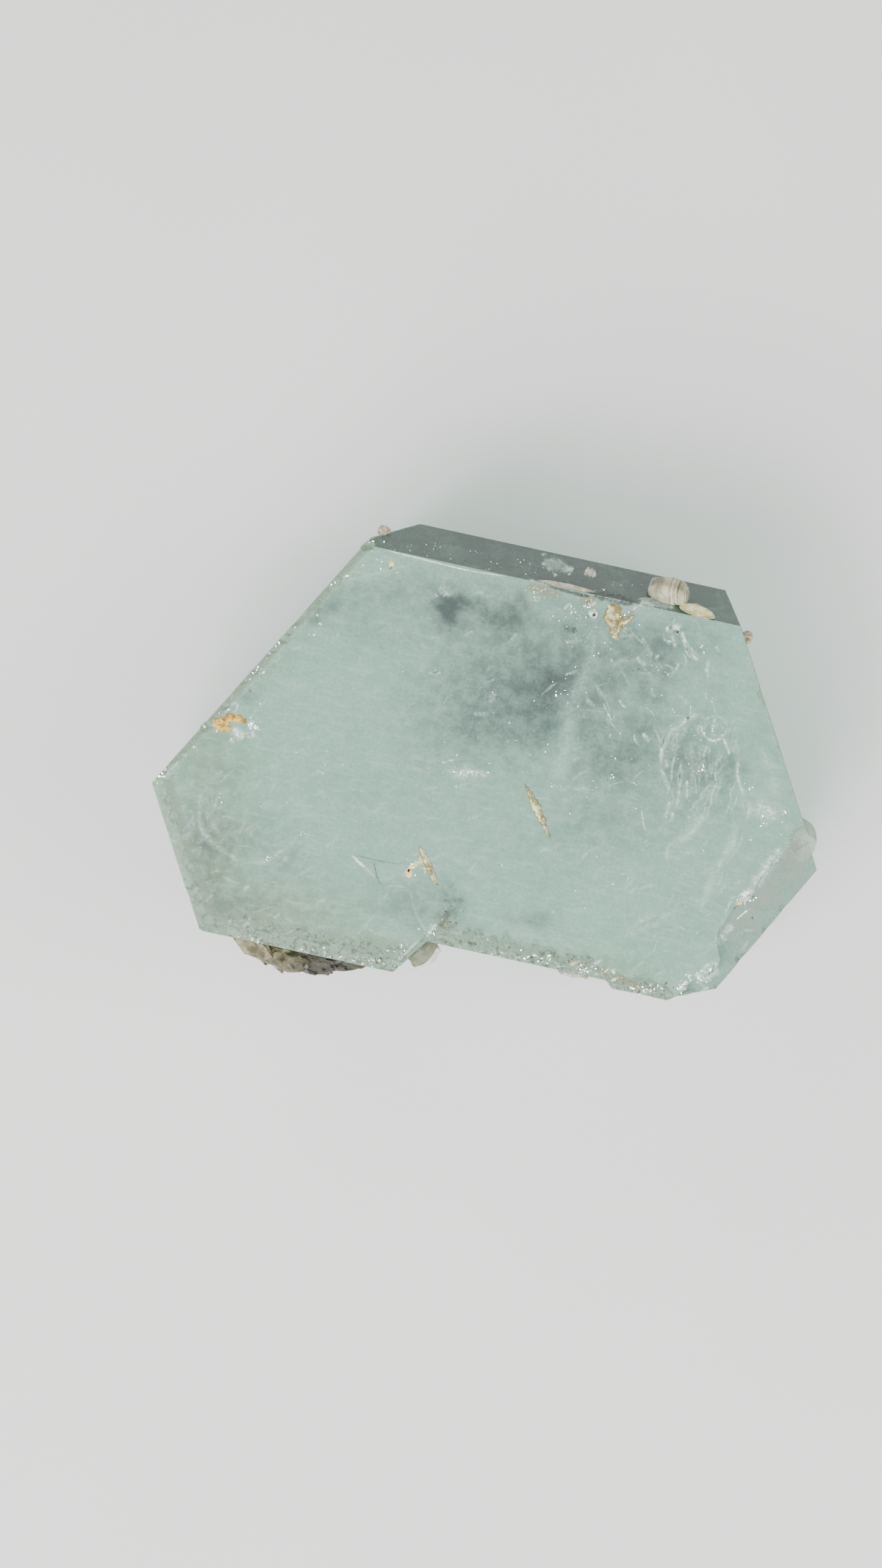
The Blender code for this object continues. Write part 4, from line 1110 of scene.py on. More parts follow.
def plates(centres, normals, headings, long_radii, short_radii, thickness, seed, around=PLATE_CORNERS):
    """For each plate a lower and an upper ring of points. The radius goes round with six soft corners and
    some noise, and the upper ring is a little smaller."""
    rng = np.random.default_rng(seed)
    count = len(centres)
    angle = np.linspace(0, 2 * math.pi, around, endpoint=False)
    ragged = 1 + 0.06 * np.cos(6 * angle) + 0.16 * rng.uniform(-1, 1, (count, around))
    one, two, out = turned_frames(np.asarray(normals, float), np.asarray(headings, float))
    rings = []
    for level, size in ((-0.5, 1.0), (0.5, 0.9)):
        x = (np.cos(angle) * ragged * size * np.reshape(long_radii, (-1, 1)))[..., None]
        y = (np.sin(angle) * ragged * size * np.reshape(short_radii, (-1, 1)))[..., None]
        lift = (level * np.reshape(thickness, (-1, 1)) * np.ones((count, around)))[..., None]
        rings.append(centres[:, None] + x * one[:, None] + y * two[:, None] + lift * out[:, None])
    points = np.stack(rings, axis=1).reshape(-1, 3)
    start = (np.arange(count) * 2 * around)[:, None]
    ring = np.arange(around)[None, :]
    beside = (ring + 1) % around
    sides = np.stack([start + ring, start + beside, start + around + beside, start + around + ring], axis=-1)
    faces = sides.reshape(-1, 4).tolist()
    faces += (start + ring)[:, ::-1].tolist() + (start + around + ring).tolist()
    return points, faces


def facing(compass, slope):
    """Unit direction from a compass direction and a slope from upright."""
    return face_plane(compass, slope, 0.0, 0.0)[0]


# Compass direction and elevation of the main light, in degrees
KEY_COMPASS, KEY_HEIGHT = 245, 48
# Each cluster: pixel right and down, spread in px along and down, how many, and largest radius in mm
GLINT_CLUSTERS = [
    (634, 1052, 26, 9, 20, 0.10), (965, 1000, 20, 14, 16, 0.10), (416, 1133, 5, 4, 8, 0.11),
    (832, 1030, 6, 4, 4, 0.09), (833, 1057, 3, 5, 3, 0.10), (730, 806, 16, 12, 16, 0.07),
    (780, 840, 26, 12, 22, 0.075), (797, 822, 12, 6, 10, 0.08), (810, 880, 40, 20, 18, 0.07),
    (300, 1083, 5, 6, 4, 0.11), (366, 1167, 5, 3, 5, 0.12), (1038, 1117, 7, 6, 9, 0.11),
    (1066, 1104, 4, 3, 4, 0.15), (848, 850, 6, 14, 16, 0.10), (838, 862, 3, 5, 7, 0.12),
    (933, 1160, 8, 7, 4, 0.10), (563, 1175, 12, 14, 12, 0.09), (957, 1044, 7, 5, 9, 0.11),
    (945, 1030, 30, 40, 20, 0.07), (497, 770, 30, 12, 6, 0.09), (469, 785, 6, 5, 5, 0.14),
    (520, 765, 14, 9, 5, 0.10), (765, 1060, 30, 20, 8, 0.08), (1015, 1222, 14, 10, 10, 0.11),
    (955, 1326, 22, 9, 16, 0.12), (929, 1344, 7, 7, 9, 0.12), (586, 1268, 9, 9, 8, 0.12),
    (552, 1302, 16, 14, 12, 0.12), (375, 874, 6, 7, 20, 0.14), (361, 888, 5, 6, 14, 0.12),
    (345, 912, 10, 10, 14, 0.12), (395, 852, 10, 10, 6, 0.10), (450, 793, 8, 6, 6, 0.13),
    (216, 1050, 8, 9, 30, 0.13), (258, 1010, 12, 10, 6, 0.11), (306, 968, 6, 4, 3, 0.13),
    (345, 990, 8, 9, 8, 0.12), (730, 960, 150, 110, 66, 0.065), (480, 1050, 190, 150, 40, 0.055),
    (820, 1150, 170, 130, 44, 0.06), (640, 1300, 30, 8, 12, 0.12), (720, 1304, 26, 7, 22, 0.12),
    (790, 1318, 26, 7, 16, 0.10), (880, 1345, 20, 6, 14, 0.11), (330, 1282, 30, 5, 10, 0.09),
    (400, 1296, 40, 6, 18, 0.10), (480, 1310, 40, 8, 16, 0.10), (915, 966, 4, 6, 3, 0.12),
    (968, 953, 8, 6, 5, 0.10), (763, 943, 4, 3, 3, 0.14), (900, 912, 16, 8, 7, 0.09),
    (955, 887, 8, 14, 6, 0.08), (1020, 1072, 10, 5, 5, 0.09), (700, 765, 60, 14, 16, 0.06),
    (600, 745, 60, 8, 10, 0.045), (820, 800, 12, 6, 6, 0.07), (505, 735, 10, 5, 4, 0.1),
    (862, 1066, 3, 3, 2, 0.09),
]


def scattered(clusters, seed):
    """Places on the skin, sizes and cluster numbers of clouds of points round the middle of each cluster.
    They stay a little inside the crystal's outline."""
    rng = np.random.default_rng(seed)
    pixels, sizes, numbers = [], [], []
    for number, (right, down, wide, high, count, size, *_) in enumerate(clusters):
        pixels.append(np.array([right, down]) + rng.normal(size=(count, 2)) * [wide * 0.6, high * 0.6])
        sizes.append(size * (0.2 + 0.7 * rng.random(count) ** 2.5))
        numbers.append(np.full(count, number))
    flat = on_face(np.concatenate(pixels))
    size, number = np.concatenate(sizes), np.concatenate(numbers)
    level = true_level(flat)
    away = flat - MIDDLE
    outline = reach(np.arctan2(away[:, 1], away[:, 0]), level - 0.4)[0]
    keep = (np.linalg.norm(away, axis=1) < outline - 0.12) & (level > HEIGHT - 2.4)
    return np.column_stack([flat, level])[keep], size[keep], number[keep]


def glint_finish():
    """Silvery and glossy, like a bubble's total reflection. Noise makes some of them golden."""
    finish, tree, shader = new_finish("glint")
    warm = ramp(tree, noise(tree, millimetres(tree), 0.6, 2.0), 0.58, 0.66)
    tree.links.new(mix(tree, warm, (0.88, 0.93, 0.93, 1), (0.90, 0.84, 0.66, 1)), shader.inputs["Base Color"])
    set_sockets(shader, Roughness=0.22, Metallic=0.8)
    return finish


centres, size, _ = scattered(GLINT_CLUSTERS, seed=3)
rng = np.random.default_rng(4)
half_way = facing(KEY_COMPASS, 90 - KEY_HEIGHT) + [0, 0, 1]
half_way /= np.linalg.norm(half_way)
lean = half_way + rng.normal(size=(len(size), 3)) * 0.07
centres[:, 2] += 0.01 + 0.45 * size
headings = rng.normal(size=(len(size), 3)) * [1, 1, 0]
points, faces = plates(centres, lean, headings, size * 1.3, size * 0.6, np.full(len(size), 0.03), seed=5)
piece_from("glints", points, faces, glint_finish(), 60.0)

# White flecks are partly chalky white specks and partly painted glints
# Each cluster of flecks has the same columns, and its tone at the end
FLECK_CLUSTERS = [
    (330, 1281, 36, 8, 26, 0.19, WHITE), (400, 1297, 44, 8, 34, 0.19, WHITE),
    (480, 1312, 36, 9, 30, 0.19, WHITE), (345, 1282, 34, 7, 14, 0.26, DARK),
    (420, 1300, 40, 7, 20, 0.24, DARK), (505, 1300, 20, 8, 10, 0.27, TAN),
    (380, 1291, 40, 7, 12, 0.22, TAN), (640, 1298, 30, 7, 18, 0.19, WHITE),
    (720, 1303, 34, 7, 26, 0.21, WHITE), (800, 1318, 30, 7, 22, 0.21, WHITE),
    (650, 1296, 36, 6, 12, 0.22, DARK), (740, 1305, 36, 6, 14, 0.22, DARK),
    (815, 1322, 20, 6, 12, 0.24, TAN), (835, 1328, 10, 6, 8, 0.27, YELLOW),
    (885, 1344, 22, 6, 18, 0.21, WHITE), (890, 1344, 22, 6, 12, 0.24, DARK),
    (880, 1342, 16, 5, 8, 0.26, TAN), (950, 1333, 22, 10, 20, 0.16, WHITE),
    (1010, 1225, 10, 10, 12, 0.24, WHITE), (612, 1250, 8, 14, 16, 0.21, DARK),
    (606, 1262, 8, 10, 8, 0.21, TAN), (640, 1238, 26, 8, 12, 0.10, DARK),
    (545, 1300, 14, 16, 8, 0.16, WHITE), (400, 850, 40, 30, 16, 0.19, WHITE),
    (350, 905, 16, 14, 10, 0.21, WHITE), (330, 930, 10, 12, 8, 0.24, DARK),
    (735, 805, 16, 11, 20, 0.13, YELLOW), (725, 800, 10, 8, 10, 0.19, TAN),
    (790, 825, 24, 10, 14, 0.09, YELLOW), (785, 815, 20, 8, 12, 0.10, WHITE),
    (780, 857, 4, 4, 5, 0.19, DARK), (571, 1158, 5, 7, 12, 0.19, TAN), (570, 1165, 5, 8, 8, 0.19, YELLOW),
    (580, 1185, 4, 8, 8, 0.19, YELLOW), (555, 1190, 4, 4, 6, 0.21, YELLOW),
    (290, 995, 10, 6, 8, 0.22, YELLOW), (345, 988, 9, 8, 10, 0.24, WHITE),
    (219, 1046, 10, 14, 34, 0.18, WHITE), (245, 1020, 10, 12, 10, 0.11, WHITE),
    (235, 1150, 10, 60, 12, 0.10, DARK), (255, 1220, 8, 40, 10, 0.10, DARK),
    (240, 1180, 8, 60, 12, 0.10, TAN), (1100, 1060, 4, 50, 14, 0.19, WHITE),
    (1085, 1010, 4, 40, 12, 0.19, WHITE), (1065, 1120, 16, 12, 10, 0.13, WHITE),
    (880, 900, 40, 26, 20, 0.07, WHITE), (870, 905, 30, 24, 8, 0.10, DARK),
    (945, 1040, 26, 40, 22, 0.08, WHITE), (700, 985, 60, 40, 26, 0.09, DARK),
    (840, 1010, 40, 50, 20, 0.08, DARK), (640, 1030, 220, 140, 50, 0.045, WHITE),
    (700, 766, 90, 14, 22, 0.08, WHITE), (560, 745, 60, 8, 12, 0.07, WHITE),
    (850, 795, 30, 8, 8, 0.08, WHITE),
]


def fleck_finish():
    """The tone stored at the points, a little mottled."""
    finish, tree, shader = new_finish("fleck")
    tone = put(tree, "ShaderNodeAttribute", attribute_name="tone").outputs["Color"]
    grain = ramp(tree, noise(tree, millimetres(tree), 5.0, 3.0), 0.35, 0.65, 0.3, 0.0)
    tree.links.new(mix(tree, grain, tone, (0.25, 0.32, 0.28, 1)), shader.inputs["Base Color"])
    set_sockets(shader, Roughness=0.4)
    return finish


centres, size, number = scattered(FLECK_CLUSTERS, seed=31)
centres[:, 2] += 0.012
upright = np.tile([0.0, 0, 1], (len(size), 1)) + rng.normal(size=(len(size), 3)) * 0.05
headings = rng.normal(size=(len(size), 3)) * [1, 1, 0]
points, faces = plates(centres, upright, headings, size * 1.2, size * 0.7, np.full(len(size), 0.02), seed=6)
tone_here = np.array([cluster[6] for cluster in FLECK_CLUSTERS])[number]
flecks = piece_from("flecks", points, faces, fleck_finish(), 60.0)
add_tones(flecks, np.repeat(TONES[tone_here], len(points) // len(size), axis=0))
print("flecks:", len(size))

# %% [markdown]
# ## Mica
# Muscovite mica grows in books: piles of thin six-sided sheets. Its edges show every sheet, and its flat
# sides have a pearly shine. Thin mica is golden or silvery, and thicker books are brown-grey.

# %% The finish of mica and the pile of sheets


def mottled(tree, place, light, dark, scale, balance):
    """The shared mottle group with its own colours, size of noise and share of light."""
    sockets = {"Vector": place, "Light": light, "Dark": dark, "Scale": scale, "Balance": balance}
    return put(tree, "ShaderNodeGroup", sockets, node_tree=MOTTLE)


def darker(colour, share):
    """A colour with its red, green and blue multiplied by share."""
    return tuple(share * part for part in colour[:3]) + (1,)


def mica_finish(name, light, dark, scale=1.0, lines=55.0, gloss=0.22, painted_shade_east=(90, 100, 0, 0), painted_highlight_foot=0.0,
                dark_sides=0.0):
    """Mottled between two colours, with fine lines across the pile, from a wave on the stored pile number.
    painted_shade_east says between which places to the east a painted shade darkens it,
    painted_highlight_foot how strongly the lowest sheets get a pale painted highlight, and dark_sides how
    dark both ends of the pile are."""
    finish, tree, shader = new_finish(name)
    place = millimetres(tree)
    mottle = mottled(tree, place, light, dark, scale, 0.5)
    wobble = math_node(tree, "MULTIPLY", noise(tree, place, 1.5, 3.0), 4.0)
    pile = math_node(tree, "MULTIPLY", stored_number(tree, "pile"), lines)
    wave = math_node(tree, "SINE", math_node(tree, "ADD", pile, wobble))
    line_mask = ramp(tree, wave, 0.1, 0.9, 0.0, 0.55)
    colour = mix(tree, line_mask, mottle.outputs["Color"], darker(dark, 0.4))
    east = put(tree, "ShaderNodeSeparateXYZ", {0: place}).outputs["X"]
    # Painted shade: darker towards the east, between the two given places
    colour = mix(tree, ramp(tree, east, *painted_shade_east), colour, darker(dark, 0.35))
    from_middle = math_node(tree, "ABSOLUTE", math_node(tree, "SUBTRACT", stored_number(tree, "pile"), 0.5))
    uneven = math_node(tree, "MULTIPLY", mottle.outputs["Mask"], 0.1)
    from_middle = math_node(tree, "ADD", from_middle, uneven)
    colour = mix(tree, ramp(tree, from_middle, 0.30, 0.5, 0.0, dark_sides), colour, dark)
    # Painted highlight: the lowest sheets are paler
    painted_highlight_sheets = ramp(tree, stored_number(tree, "pile"), 0.30, 0.38, painted_highlight_foot, 0.0)
    colour = mix(tree, painted_highlight_sheets, colour, (0.86, 0.84, 0.74, 1))
    tree.links.new(colour, shader.inputs["Base Color"])
    height = math_node(tree, "ADD", mottle.outputs["Height"], math_node(tree, "MULTIPLY", wave, 0.5))
    tree.links.new(bump(tree, height, 0.00006), shader.inputs["Normal"])
    rough = ramp(tree, mottle.outputs["Mask"], 0.0, 1.0, gloss, gloss + 0.25)
    tree.links.new(rough, shader.inputs["Roughness"])
    set_sockets(shader, Specular_IOR_Level=0.6)
    return finish


GOLDEN = mica_finish("golden_mica", (0.92, 0.91, 0.55, 1), (0.50, 0.46, 0.17, 1), 1.0, 14.0)
SUNK = mica_finish("sunk_mica", (0.86, 0.86, 0.46, 1), (0.19, 0.155, 0.035, 1), 1.1, 9.0, dark_sides=1.0)
# The silvery plate gets a pale painted highlight on its edge
SILVERY = mica_finish("silvery_mica", (0.36, 0.36, 0.27, 1), (0.22, 0.215, 0.15, 1), 0.8, 9.0, 0.3,
                      painted_highlight_foot=0.85)
# The brown clump gets painted shade on its east side
BROWN = mica_finish("brown_mica", (0.29, 0.27, 0.13, 1), (0.055, 0.048, 0.016, 1), 0.7, 20.0, 0.25,
                    painted_shade_east=(-19.0, -13.0, 0.0, 0.95))
PEARLY = mica_finish("pearly_mica", (0.61, 0.61, 0.42, 1), (0.32, 0.31, 0.195, 1), 0.8, 34.0, 0.35)
PALE = mica_finish("pale_mica", (0.74, 0.74, 0.62, 1), (0.38, 0.36, 0.26, 1), 1.6, 8.0, 0.35)


def book(centre, normal, heading, long_radius, short_radius, weights, thickness, seed, dome=0.1, slide=0.0,
         ragged=0.13, rounding=0.12, square=1.0):
    """A pile of sheets, from weights that share out its thickness. Each sheet adds a ring at its lower and
    at its upper edge, with its own size and shift, so the side is a fine stair. slide moves the higher
    sheets sideways. Both ends close over a few inner rings, which rise a little in a dome."""
    rng = np.random.default_rng(seed)
    around, sheets = 64, len(weights)
    angle = np.linspace(0, 2 * math.pi, around, endpoint=False)
    base = 1 + 0.05 * np.cos(6 * angle + rng.uniform(0, 6)) + 0.05 * np.sin(2 * angle + rng.uniform(0, 6))
    sheet = np.repeat(np.arange(sheets), 2)
    edges = np.concatenate([[0], np.cumsum(weights)]) / np.sum(weights)
    level = np.stack([edges[:-1], edges[1:]], axis=1).ravel() - 0.5
    size = 1 - (ragged * rng.random(sheets))[sheet] - rounding * np.abs(2 * level) ** 3
    ring = np.stack([np.cos(angle), np.sin(angle), 0 * angle], axis=1)
    frayed = 1 + 0.04 * waves(ring[None] * 2 + sheet[:, None, None] * 5.1, 0.8, seed, 2)
    radius = size[:, None] * base * frayed
    shift = (0.3 * np.reshape(ragged, (-1, 1)) * rng.normal(size=(sheets, 2)))[sheet]
    shift[:, 1] += slide * level
    inner_share = np.array([0.9, 0.55, 0.25])
    below, above = radius[:1] * inner_share[::-1, None], radius[-1:] * inner_share[:, None]
    radius = np.concatenate([below, radius, above])
    rise = dome * np.array([0.25, 0.8, 1.0])
    level = np.concatenate([(-0.5 - rise)[::-1], level, 0.5 + rise])
    shift = np.concatenate([np.repeat(shift[:1], 3, axis=0), shift, np.repeat(shift[-1:], 3, axis=0)])
    x = (radius * np.sign(np.cos(angle)) * np.abs(np.cos(angle)) ** square + shift[:, :1]) * long_radius
    y = (radius * np.sign(np.sin(angle)) * np.abs(np.sin(angle)) ** square + shift[:, 1:]) * short_radius
    one, two, out = (part[0] for part in turned_frames(np.array([normal], float), np.array([heading], float)))
    ring_points = x[..., None] * one + y[..., None] * two + (level * thickness)[:, None, None] * out
    ends = ring_points[[0, -1]].mean(axis=1)
    points = np.concatenate([ring_points.reshape(-1, 3), ends]) + centre
    # Rows run up the pile, so the quads are turned round to face outwards
    faces = [quad[::-1] for quad in grid_faces(len(level), around)]
    faces += fan_faces(0, around, len(points) - 2, outward=False)
    faces += fan_faces((len(level) - 1) * around, around, len(points) - 1)
    pile = np.append(np.repeat(level + 0.5, around), [0.0, 1.0])
    return points, faces, pile


def joined(parts):
    """Several (points, faces, pile) pieces as one, with the face numbers moved on."""
    points, faces, pile, start = [], [], [], 0
    for some_points, some_faces, some_pile in parts:
        points.append(some_points)
        faces += [[index + start for index in face] for face in some_faces]
        pile.append(some_pile)
        start += len(some_points)
    return np.concatenate(points), faces, np.concatenate(pile)


def mica_piece(name, parts, finish, sharp=35.0):
    """One mica piece that stands for its CAD node."""
    points, faces, pile = joined(parts)
    return piece_from(name + "_sheets", points, faces, finish, sharp, [name], {"pile": pile})


# %% [markdown]
# ## The mica on the north side
# A thick, rounded book lies on the bevel like a barrel, with its sheets seen edge-on at its right end. A
# golden flake and a pale sliver lie along the rim. On the bevel, places are counted along the rim and down
# the slope.

# %% Book, flake and sliver
BEVEL_LEAN = math.radians(STEEP)
BEVEL_OUT = np.array([0, math.sin(BEVEL_LEAN), math.cos(BEVEL_LEAN)])
BEVEL_DOWN = np.array([0, math.cos(BEVEL_LEAN), -math.sin(BEVEL_LEAN)])
EAST_WAY = np.array([1.0, 0, 0])


def on_bevel_at(sideways, down, lift):
    """A point on the bevel: along the rim, down the slope and out from the face."""
    return np.array([sideways, NORTH_RIM, HEIGHT]) + BEVEL_DOWN * down + BEVEL_OUT * lift


def above_plane(points, point, normal):
    """Moves the points that are behind a plane straight onto it."""
    behind = np.minimum((points - point) @ normal, 0)
    return points - behind[:, None] * normal


barrel = np.array([1.0] * 8 + [0.6, 0.4, 0.7, 0.3, 0.6, 0.4, 0.7])
north = book(
    on_bevel_at(12.85, 2.25, 0.5), facing(5, 68), [0, 1, 0], 1.45, 1.3, barrel, 3.5, seed=7, dome=0.08,
    ragged=np.where(barrel == 1.0, 0.02, 0.13), rounding=0.16,
)
# The lines of its sheets crowd towards its right end
north = (above_plane(north[0], on_bevel_at(0, 0, 0.05), BEVEL_OUT), north[1], np.clip(north[2], 0, 1.2) ** 4)
mica_piece("mica_book_north", [north], PEARLY)
flake = book(
    on_bevel_at(15.75, 0.62, 0.24), BEVEL_OUT - [0.0, 0.35, 0], [1, -0.2, 0], 2.0, 0.78, [3, 1, 1, 1, 1],
    0.36, 8, square=1.35,
)
mica_piece("mica_blade_rim", [flake], GOLDEN)
sliver = book(on_bevel_at(3.0, 0.22, 0.16), BEVEL_OUT - [0, 0.4, 0], EAST_WAY, 2.75, 0.30, [1, 1, 1], 0.22, 9)
mica_piece("mica_sliver_rim", [sliver], PALE)

# %% [markdown]
# ## Mica sunk in the end face
# Three blades were there before the crystal, which grew round them. The camera sees them edge-on, as golden
# leaves with ridges that run along them. Each one is a tube of sections that hang from the end face.

# %% The sunk blades


def leaf(centre, compass, length, width, depth, seed, blunt=1.0, skew=0.0):
    """Sections across a blade. Each one is a flat-topped half-ellipse that hangs from the end face. Its
    width follows one minus the square of the distance from the middle, in half lengths, to the power blunt,
    and skew makes one end wider. Ridges run along the blade, and noise frays it."""
    rng = np.random.default_rng(seed)
    rows_here, around = 70, 32
    run = np.linspace(-0.99, 0.99, rows_here)[:, None]
    angle = np.linspace(0, 2 * math.pi, around, endpoint=False)[None, :]
    ridges = 1 + 0.12 * rng.uniform(-1, 1, around)[None, :]
    half = width / 2 * (1 - run**2) ** blunt * (1 - skew * run) * ridges
    side = half * np.sign(np.cos(angle)) * np.abs(np.cos(angle)) ** 0.7
    sunk = depth * np.sin(angle) * (1 - run**2)
    hang = np.where(np.sin(angle) > 0, 0.06 * ridges * np.sin(angle) ** 0.5, sunk)
    heading = np.array([math.cos(math.radians(compass)), math.sin(math.radians(compass)), 0])
    sideways = np.array([-heading[1], heading[0], 0])
    points = run[..., None] * heading * length / 2 + side[..., None] * sideways
    points = points + hang[..., None] * [0, 0, 1.0]
    fray = waves(points * [1, 1, 0.2] + seed, 0.7, seed)
    points = points + fray[..., None] * width * 0.13 * sideways
    points[..., 2] += 0.02 * fray * (hang > 0) + 0.01
    points = points.reshape(-1, 3) + np.array([*centre, HEIGHT])
    tips = [points[:around].mean(axis=0), points[-around:].mean(axis=0)]
    faces = grid_faces(rows_here, around) + fan_faces(0, around, len(points))
    faces += fan_faces((rows_here - 1) * around, around, len(points) + 1, outward=False)
    across = np.broadcast_to(0.5 + 0.5 * np.cos(angle), (rows_here, around))
    pile = np.append(across.ravel(), [0.5, 0.5])
    return np.concatenate([points, tips]), faces, pile


wedge = [
    leaf((8.15, 17.35), -73.0, 3.7, 1.5, 2.0, 12, 0.5, 0.5),
    leaf((9.25, 17.75), 40.0, 2.0, 0.55, 1.0, 22, 1.2),
]
mica_piece("mica_wedge_north", wedge, SUNK)
mica_piece("mica_blade_centre", [leaf((4.8, -2.1), -53.0, 5.9, 0.75, 2.4, 13, 1.2)], SUNK)
mica_piece("mica_blade_south", [leaf((-4.4, -9.6), -54.0, 4.3, 0.62, 2.0, 14, 0.7)], SUNK)

# %% [markdown]
# ## Mica on the south side
# A silvery plate stands in the notch, and a brown-grey clump of many small books hangs under the lobe's
# rim. The clump is a lump of matrix with dozens of plates set into it at random, all from one seed.

# %% Plate, clump and thin plate


def lump(centre, radii, seed, rough=0.22, rows_here=26, around=44):
    """A ball in rows from pole to pole, scaled to three radii, whose radius goes in and out by noise."""
    tilt = np.linspace(0, math.pi, rows_here + 2)[1:-1, None]
    angle = np.linspace(0, 2 * math.pi, around, endpoint=False)[None, :]
    x, y = np.sin(tilt) * np.cos(angle), np.sin(tilt) * np.sin(angle)
    ball = np.stack([x, y, np.cos(tilt) + 0 * angle], axis=-1)
    ball = np.concatenate([ball.reshape(-1, 3), [[0, 0, 1.0], [0, 0, -1.0]]])
    ball = ball * (1 + rough * waves(ball, 0.9, seed, 4))[:, None]
    points = ball * radii + centre
    faces = grid_faces(rows_here, around) + fan_faces(0, around, len(points) - 2)
    faces += fan_faces((rows_here - 1) * around, around, len(points) - 1, outward=False)
    return points, faces, np.linspace(0, 1, len(points))


along_wall = np.array([math.cos(math.radians(57)), math.sin(math.radians(57)), 0])
notch = book(
    np.array([-2.95, -18.15, 23.8]), facing(146, 36), along_wall, 1.7, 1.0, [1.2, 0.6, 1.0, 0.5], 1.1, 15,
    dome=0.03, ragged=0.05, rounding=0.04, square=0.7,
)
for compass, wall in ((NOTCH_COMPASS, NOTCH_WALL), (270, SOUTH_WALL)):
    flat_out = facing(compass, 90)
    notch = (above_plane(notch[0], flat_out * (wall + 0.05), flat_out), *notch[1:])
# Its edge gets a pale painted highlight, and its flat top is grey-brown
notch = (*notch[:2], np.where(notch[2] > 0.93, 1.0, 0.1 * notch[2]))
mica_piece("mica_plate_notch", [notch], SILVERY)


# The clump stays outside the lobe's wall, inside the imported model's box and under the rim, in mm
CLUMP_BACK, CLUMP_FRONT, CLUMP_TOP = -20.5, -23.35, 25.4


def clump(seed):
    """A lump of matrix with plates in it, on its outer half. They lie like shingles: they face down-left in
    the picture and a little up, and run along the wall."""
    rng = np.random.default_rng(seed)
    centre, radii = np.array([-15.3, -20.7, 20.2]), np.array([5.6, 1.7, 4.2])
    count = 110
    turn, rise = rng.uniform(math.pi, 2 * math.pi, count), rng.uniform(-0.9, 1.1, count)
    out = np.stack([np.cos(turn) * np.cos(rise), np.sin(turn) * np.cos(rise), np.sin(rise)], axis=1)
    centres = centre + out * radii * rng.uniform(0.72, 0.95, (count, 1))
    normals = out * [0.5, 1.0, 1.0] + [-0.25, -0.3, 0.4] + rng.normal(size=(count, 3)) * 0.18
    headings = np.array([1.0, -0.25, -0.1]) + rng.normal(size=(count, 3)) * 0.12
    size = rng.uniform(0.4, 1.2, count)
    points, faces = plates(centres, normals, headings, size * 1.3, size * 0.5,
                           rng.uniform(0.12, 0.4, count), seed + 1)
    pile = np.tile(np.repeat([0.0, 1.0], PLATE_CORNERS), count)
    parts = [lump(centre, radii, seed, 0.18), (points, faces, pile)]
    for number, (place, radius, compass, slope) in enumerate((
        ((-19.4, -21.0, 22.9), 2.2, 250, 50), ((-15.9, -21.6, 22.7), 2.1, 275, 42),
        ((-12.6, -21.4, 21.5), 1.8, 300, 50), ((-17.6, -21.7, 19.2), 1.9, 230, 75),
        ((-14.3, -21.3, 17.6), 2.0, 300, 82), ((-9.6, -20.35, 22.4), 1.3, 275, 50),
    )):
        parts.append(book(np.array(place), facing(compass, slope), [1, -0.2, -0.1], radius, radius * 0.7,
                          [2, 1, 1.5, 1, 2, 1], 1.0, seed + number, slide=0.3))
    kept = []
    for part_points, part_faces, part_pile in parts:
        held = above_plane(part_points, np.array([0, CLUMP_BACK, 0]), np.array([0, -1.0, 0]))
        held[:, 1] = np.maximum(held[:, 1], CLUMP_FRONT)
        held[:, 2] = np.minimum(held[:, 2], CLUMP_TOP)
        kept.append((held, part_faces, part_pile))
    return kept


mica_piece("mica_cluster_south", clump(seed=17), BROWN, 25.0)
thin = book(np.array([11.6, -17.03, 23.9]), np.array([0, -1.0, 0.35]), [1, 0, -0.1], 1.6, 0.85,
            [1, 2, 1, 1], 0.3, 19, ragged=0.3, square=1.25)
mica_piece("mica_sliver_south", [thin], PALE)

# %% [markdown]
# ## Feldspar grains
# Small grains of feldspar stick to the crystal. The one near the west corner sits in a pit and is stained
# orange by iron. It is a heap of crumbs, and the other two are single rough lumps.

# %% The grains


def grain_finish(name, light, dark):
    """Mottled between two colours, rough, with a crumbly bump."""
    finish, tree, shader = new_finish(name)
    mottle = mottled(tree, millimetres(tree), light, dark, 2.2, 0.56)
    tree.links.new(mottle.outputs["Color"], shader.inputs["Base Color"])
    tree.links.new(bump(tree, mottle.outputs["Height"], 0.00012), shader.inputs["Normal"])
    tree.links.new(ramp(tree, mottle.outputs["Mask"], 0, 1, 0.5, 0.85), shader.inputs["Roughness"])
    return finish


ORANGE = grain_finish("iron_stained", (0.96, 0.66, 0.17, 1), (0.40, 0.20, 0.03, 1))
BUFF = grain_finish("tan_feldspar", (0.70, 0.58, 0.42, 1), (0.34, 0.25, 0.15, 1))
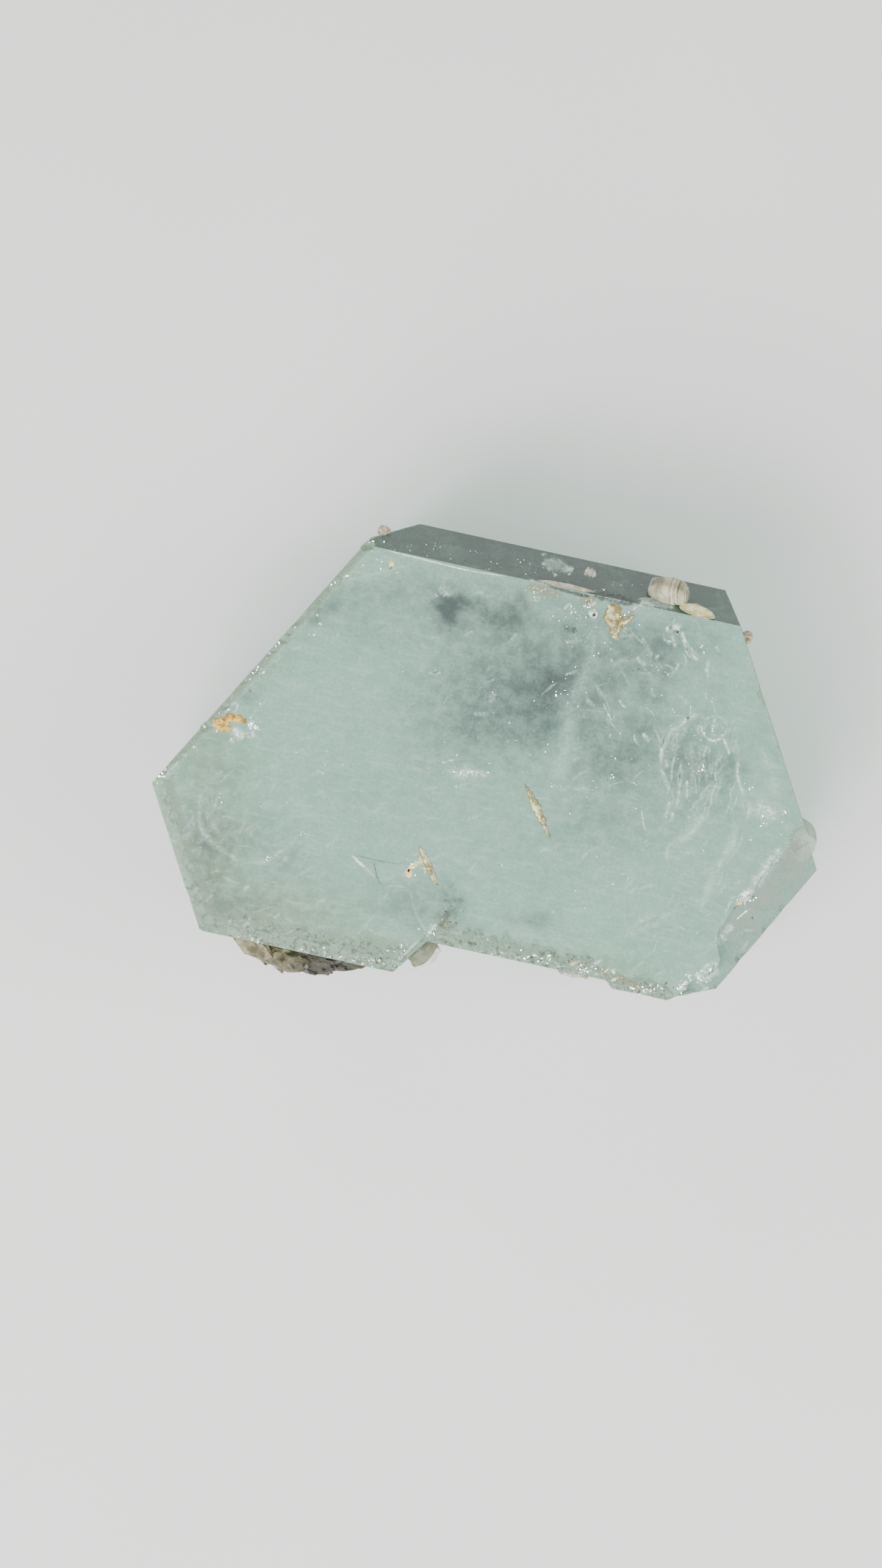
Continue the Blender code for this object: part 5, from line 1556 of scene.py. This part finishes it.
# Each crumb of the western grain: pixel right and down, and its radius in mm
CRUMBS = [
    (296, 983, 0.50), (304, 982, 0.55), (311, 978, 0.58), (318, 975, 0.58), (325, 978, 0.50),
    (331, 981, 0.34), (301, 989, 0.46), (309, 991, 0.44), (305, 985, 0.50), (321, 980, 0.4),
]
crumbs = []
for number, (right, down, radius) in enumerate(CRUMBS):
    place = np.array([*on_face([(right, down)])[0], HEIGHT - 0.45 * radius])
    crumbs.append(lump(place, np.array([radius, radius * 0.9, radius * 0.75]), 30 + number, 0.4, 16, 24))
points, faces, _ = joined(crumbs)
piece_from(
    "feldspar_grain_west_heap", points, faces, ORANGE, 60.0, ["feldspar_grain_west"]
)
for name, centre, radii, seed in (
    ("feldspar_grain_corner", (-15.6, 21.5, 24.0), (0.5, 0.45, 0.5), 24),
    ("feldspar_grain_east", (21.2, 18.75, 24.6), (0.65, 0.6, 0.85), 25),
):
    points, faces, _ = lump(np.array(centre), np.array(radii), seed, 0.3)
    piece_from(name + "_lump", points, faces, BUFF, 60.0, [name])

# %% [markdown]
# ## Floor, light and camera
# The crystal lies on a plain pale floor under soft studio light. The light comes from the south and the
# east, so the broad bevel on the north side stays dark, as in the picture. The camera looks straight down
# from 35 cm, and its lens gives the picture's scale at the end face.

# %% The studio
# How far the camera is from the end face in mm, its sensor in mm, and the floor's half size and gap in metres
CAMERA_FAR, SENSOR = 350.0, 36.0
EDGE, GAP = 0.8, 0.00005
middle_x, middle_y = on_face([PICTURE_MIDDLE])[0]

floor_finish, tree, shader = new_finish("floor")
shade = ramp(tree, noise(tree, millimetres(tree), 0.02, 2.0), 0.3, 0.7)
tree.links.new(mix(tree, shade, (0.78, 0.78, 0.77, 1), (0.80, 0.80, 0.79, 1)), shader.inputs["Base Color"])
set_sockets(shader, Roughness=0.7)
floor_mesh = bpy.data.meshes.new("floor")
floor_corners = [(-EDGE, -EDGE, 0), (EDGE, -EDGE, 0), (EDGE, EDGE, 0), (-EDGE, EDGE, 0)]
floor_mesh.from_pydata(floor_corners, [], [(0, 1, 2, 3)])
floor_mesh.materials.append(floor_finish)
floor = bpy.data.objects.new("floor", floor_mesh)
floor.location = (0, 0, -GAP)
bpy.context.scene.collection.objects.link(floor)


def softbox(name, compass, elevation, far, size, power):
    """A square area light that looks at the crystal from a compass direction and an elevation."""
    light = bpy.data.lights.new(name, "AREA")
    light.size, light.energy = size, power
    lamp = bpy.data.objects.new(name, light)
    lamp.location = facing(compass, 90 - elevation) * far
    lamp.rotation_mode = "QUATERNION"
    lamp.rotation_quaternion = (-lamp.location).to_track_quat("-Z", "Y")
    bpy.context.scene.collection.objects.link(lamp)


softbox("key", KEY_COMPASS, KEY_HEIGHT, 0.7, 0.45, 9.0)
softbox("fill", 0, 40, 0.8, 0.6, 4.0)
softbox("back", 130, 35, 0.9, 0.5, 2.0)
world = bpy.data.worlds.new("studio")
world.use_nodes = True
world.node_tree.nodes["Background"].inputs["Color"].default_value = (1.0, 1.0, 0.97, 1)
world.node_tree.nodes["Background"].inputs["Strength"].default_value = 0.55
bpy.context.scene.world = world

lens = bpy.data.cameras.new("camera")
lens.sensor_width = SENSOR
lens.lens = SENSOR * PIXELS_PER_MM * CAMERA_FAR / PICTURE_HEIGHT
lens.clip_start, lens.clip_end = 0.01, 10.0
camera = bpy.data.objects.new("camera", lens)
camera.location = (middle_x * MM, middle_y * MM, (HEIGHT + CAMERA_FAR) * MM)
camera.rotation_euler = (0, 0, TURN)
bpy.context.scene.collection.objects.link(camera)
bpy.context.scene.camera = camera
print("lens in mm:", round(lens.lens, 2))
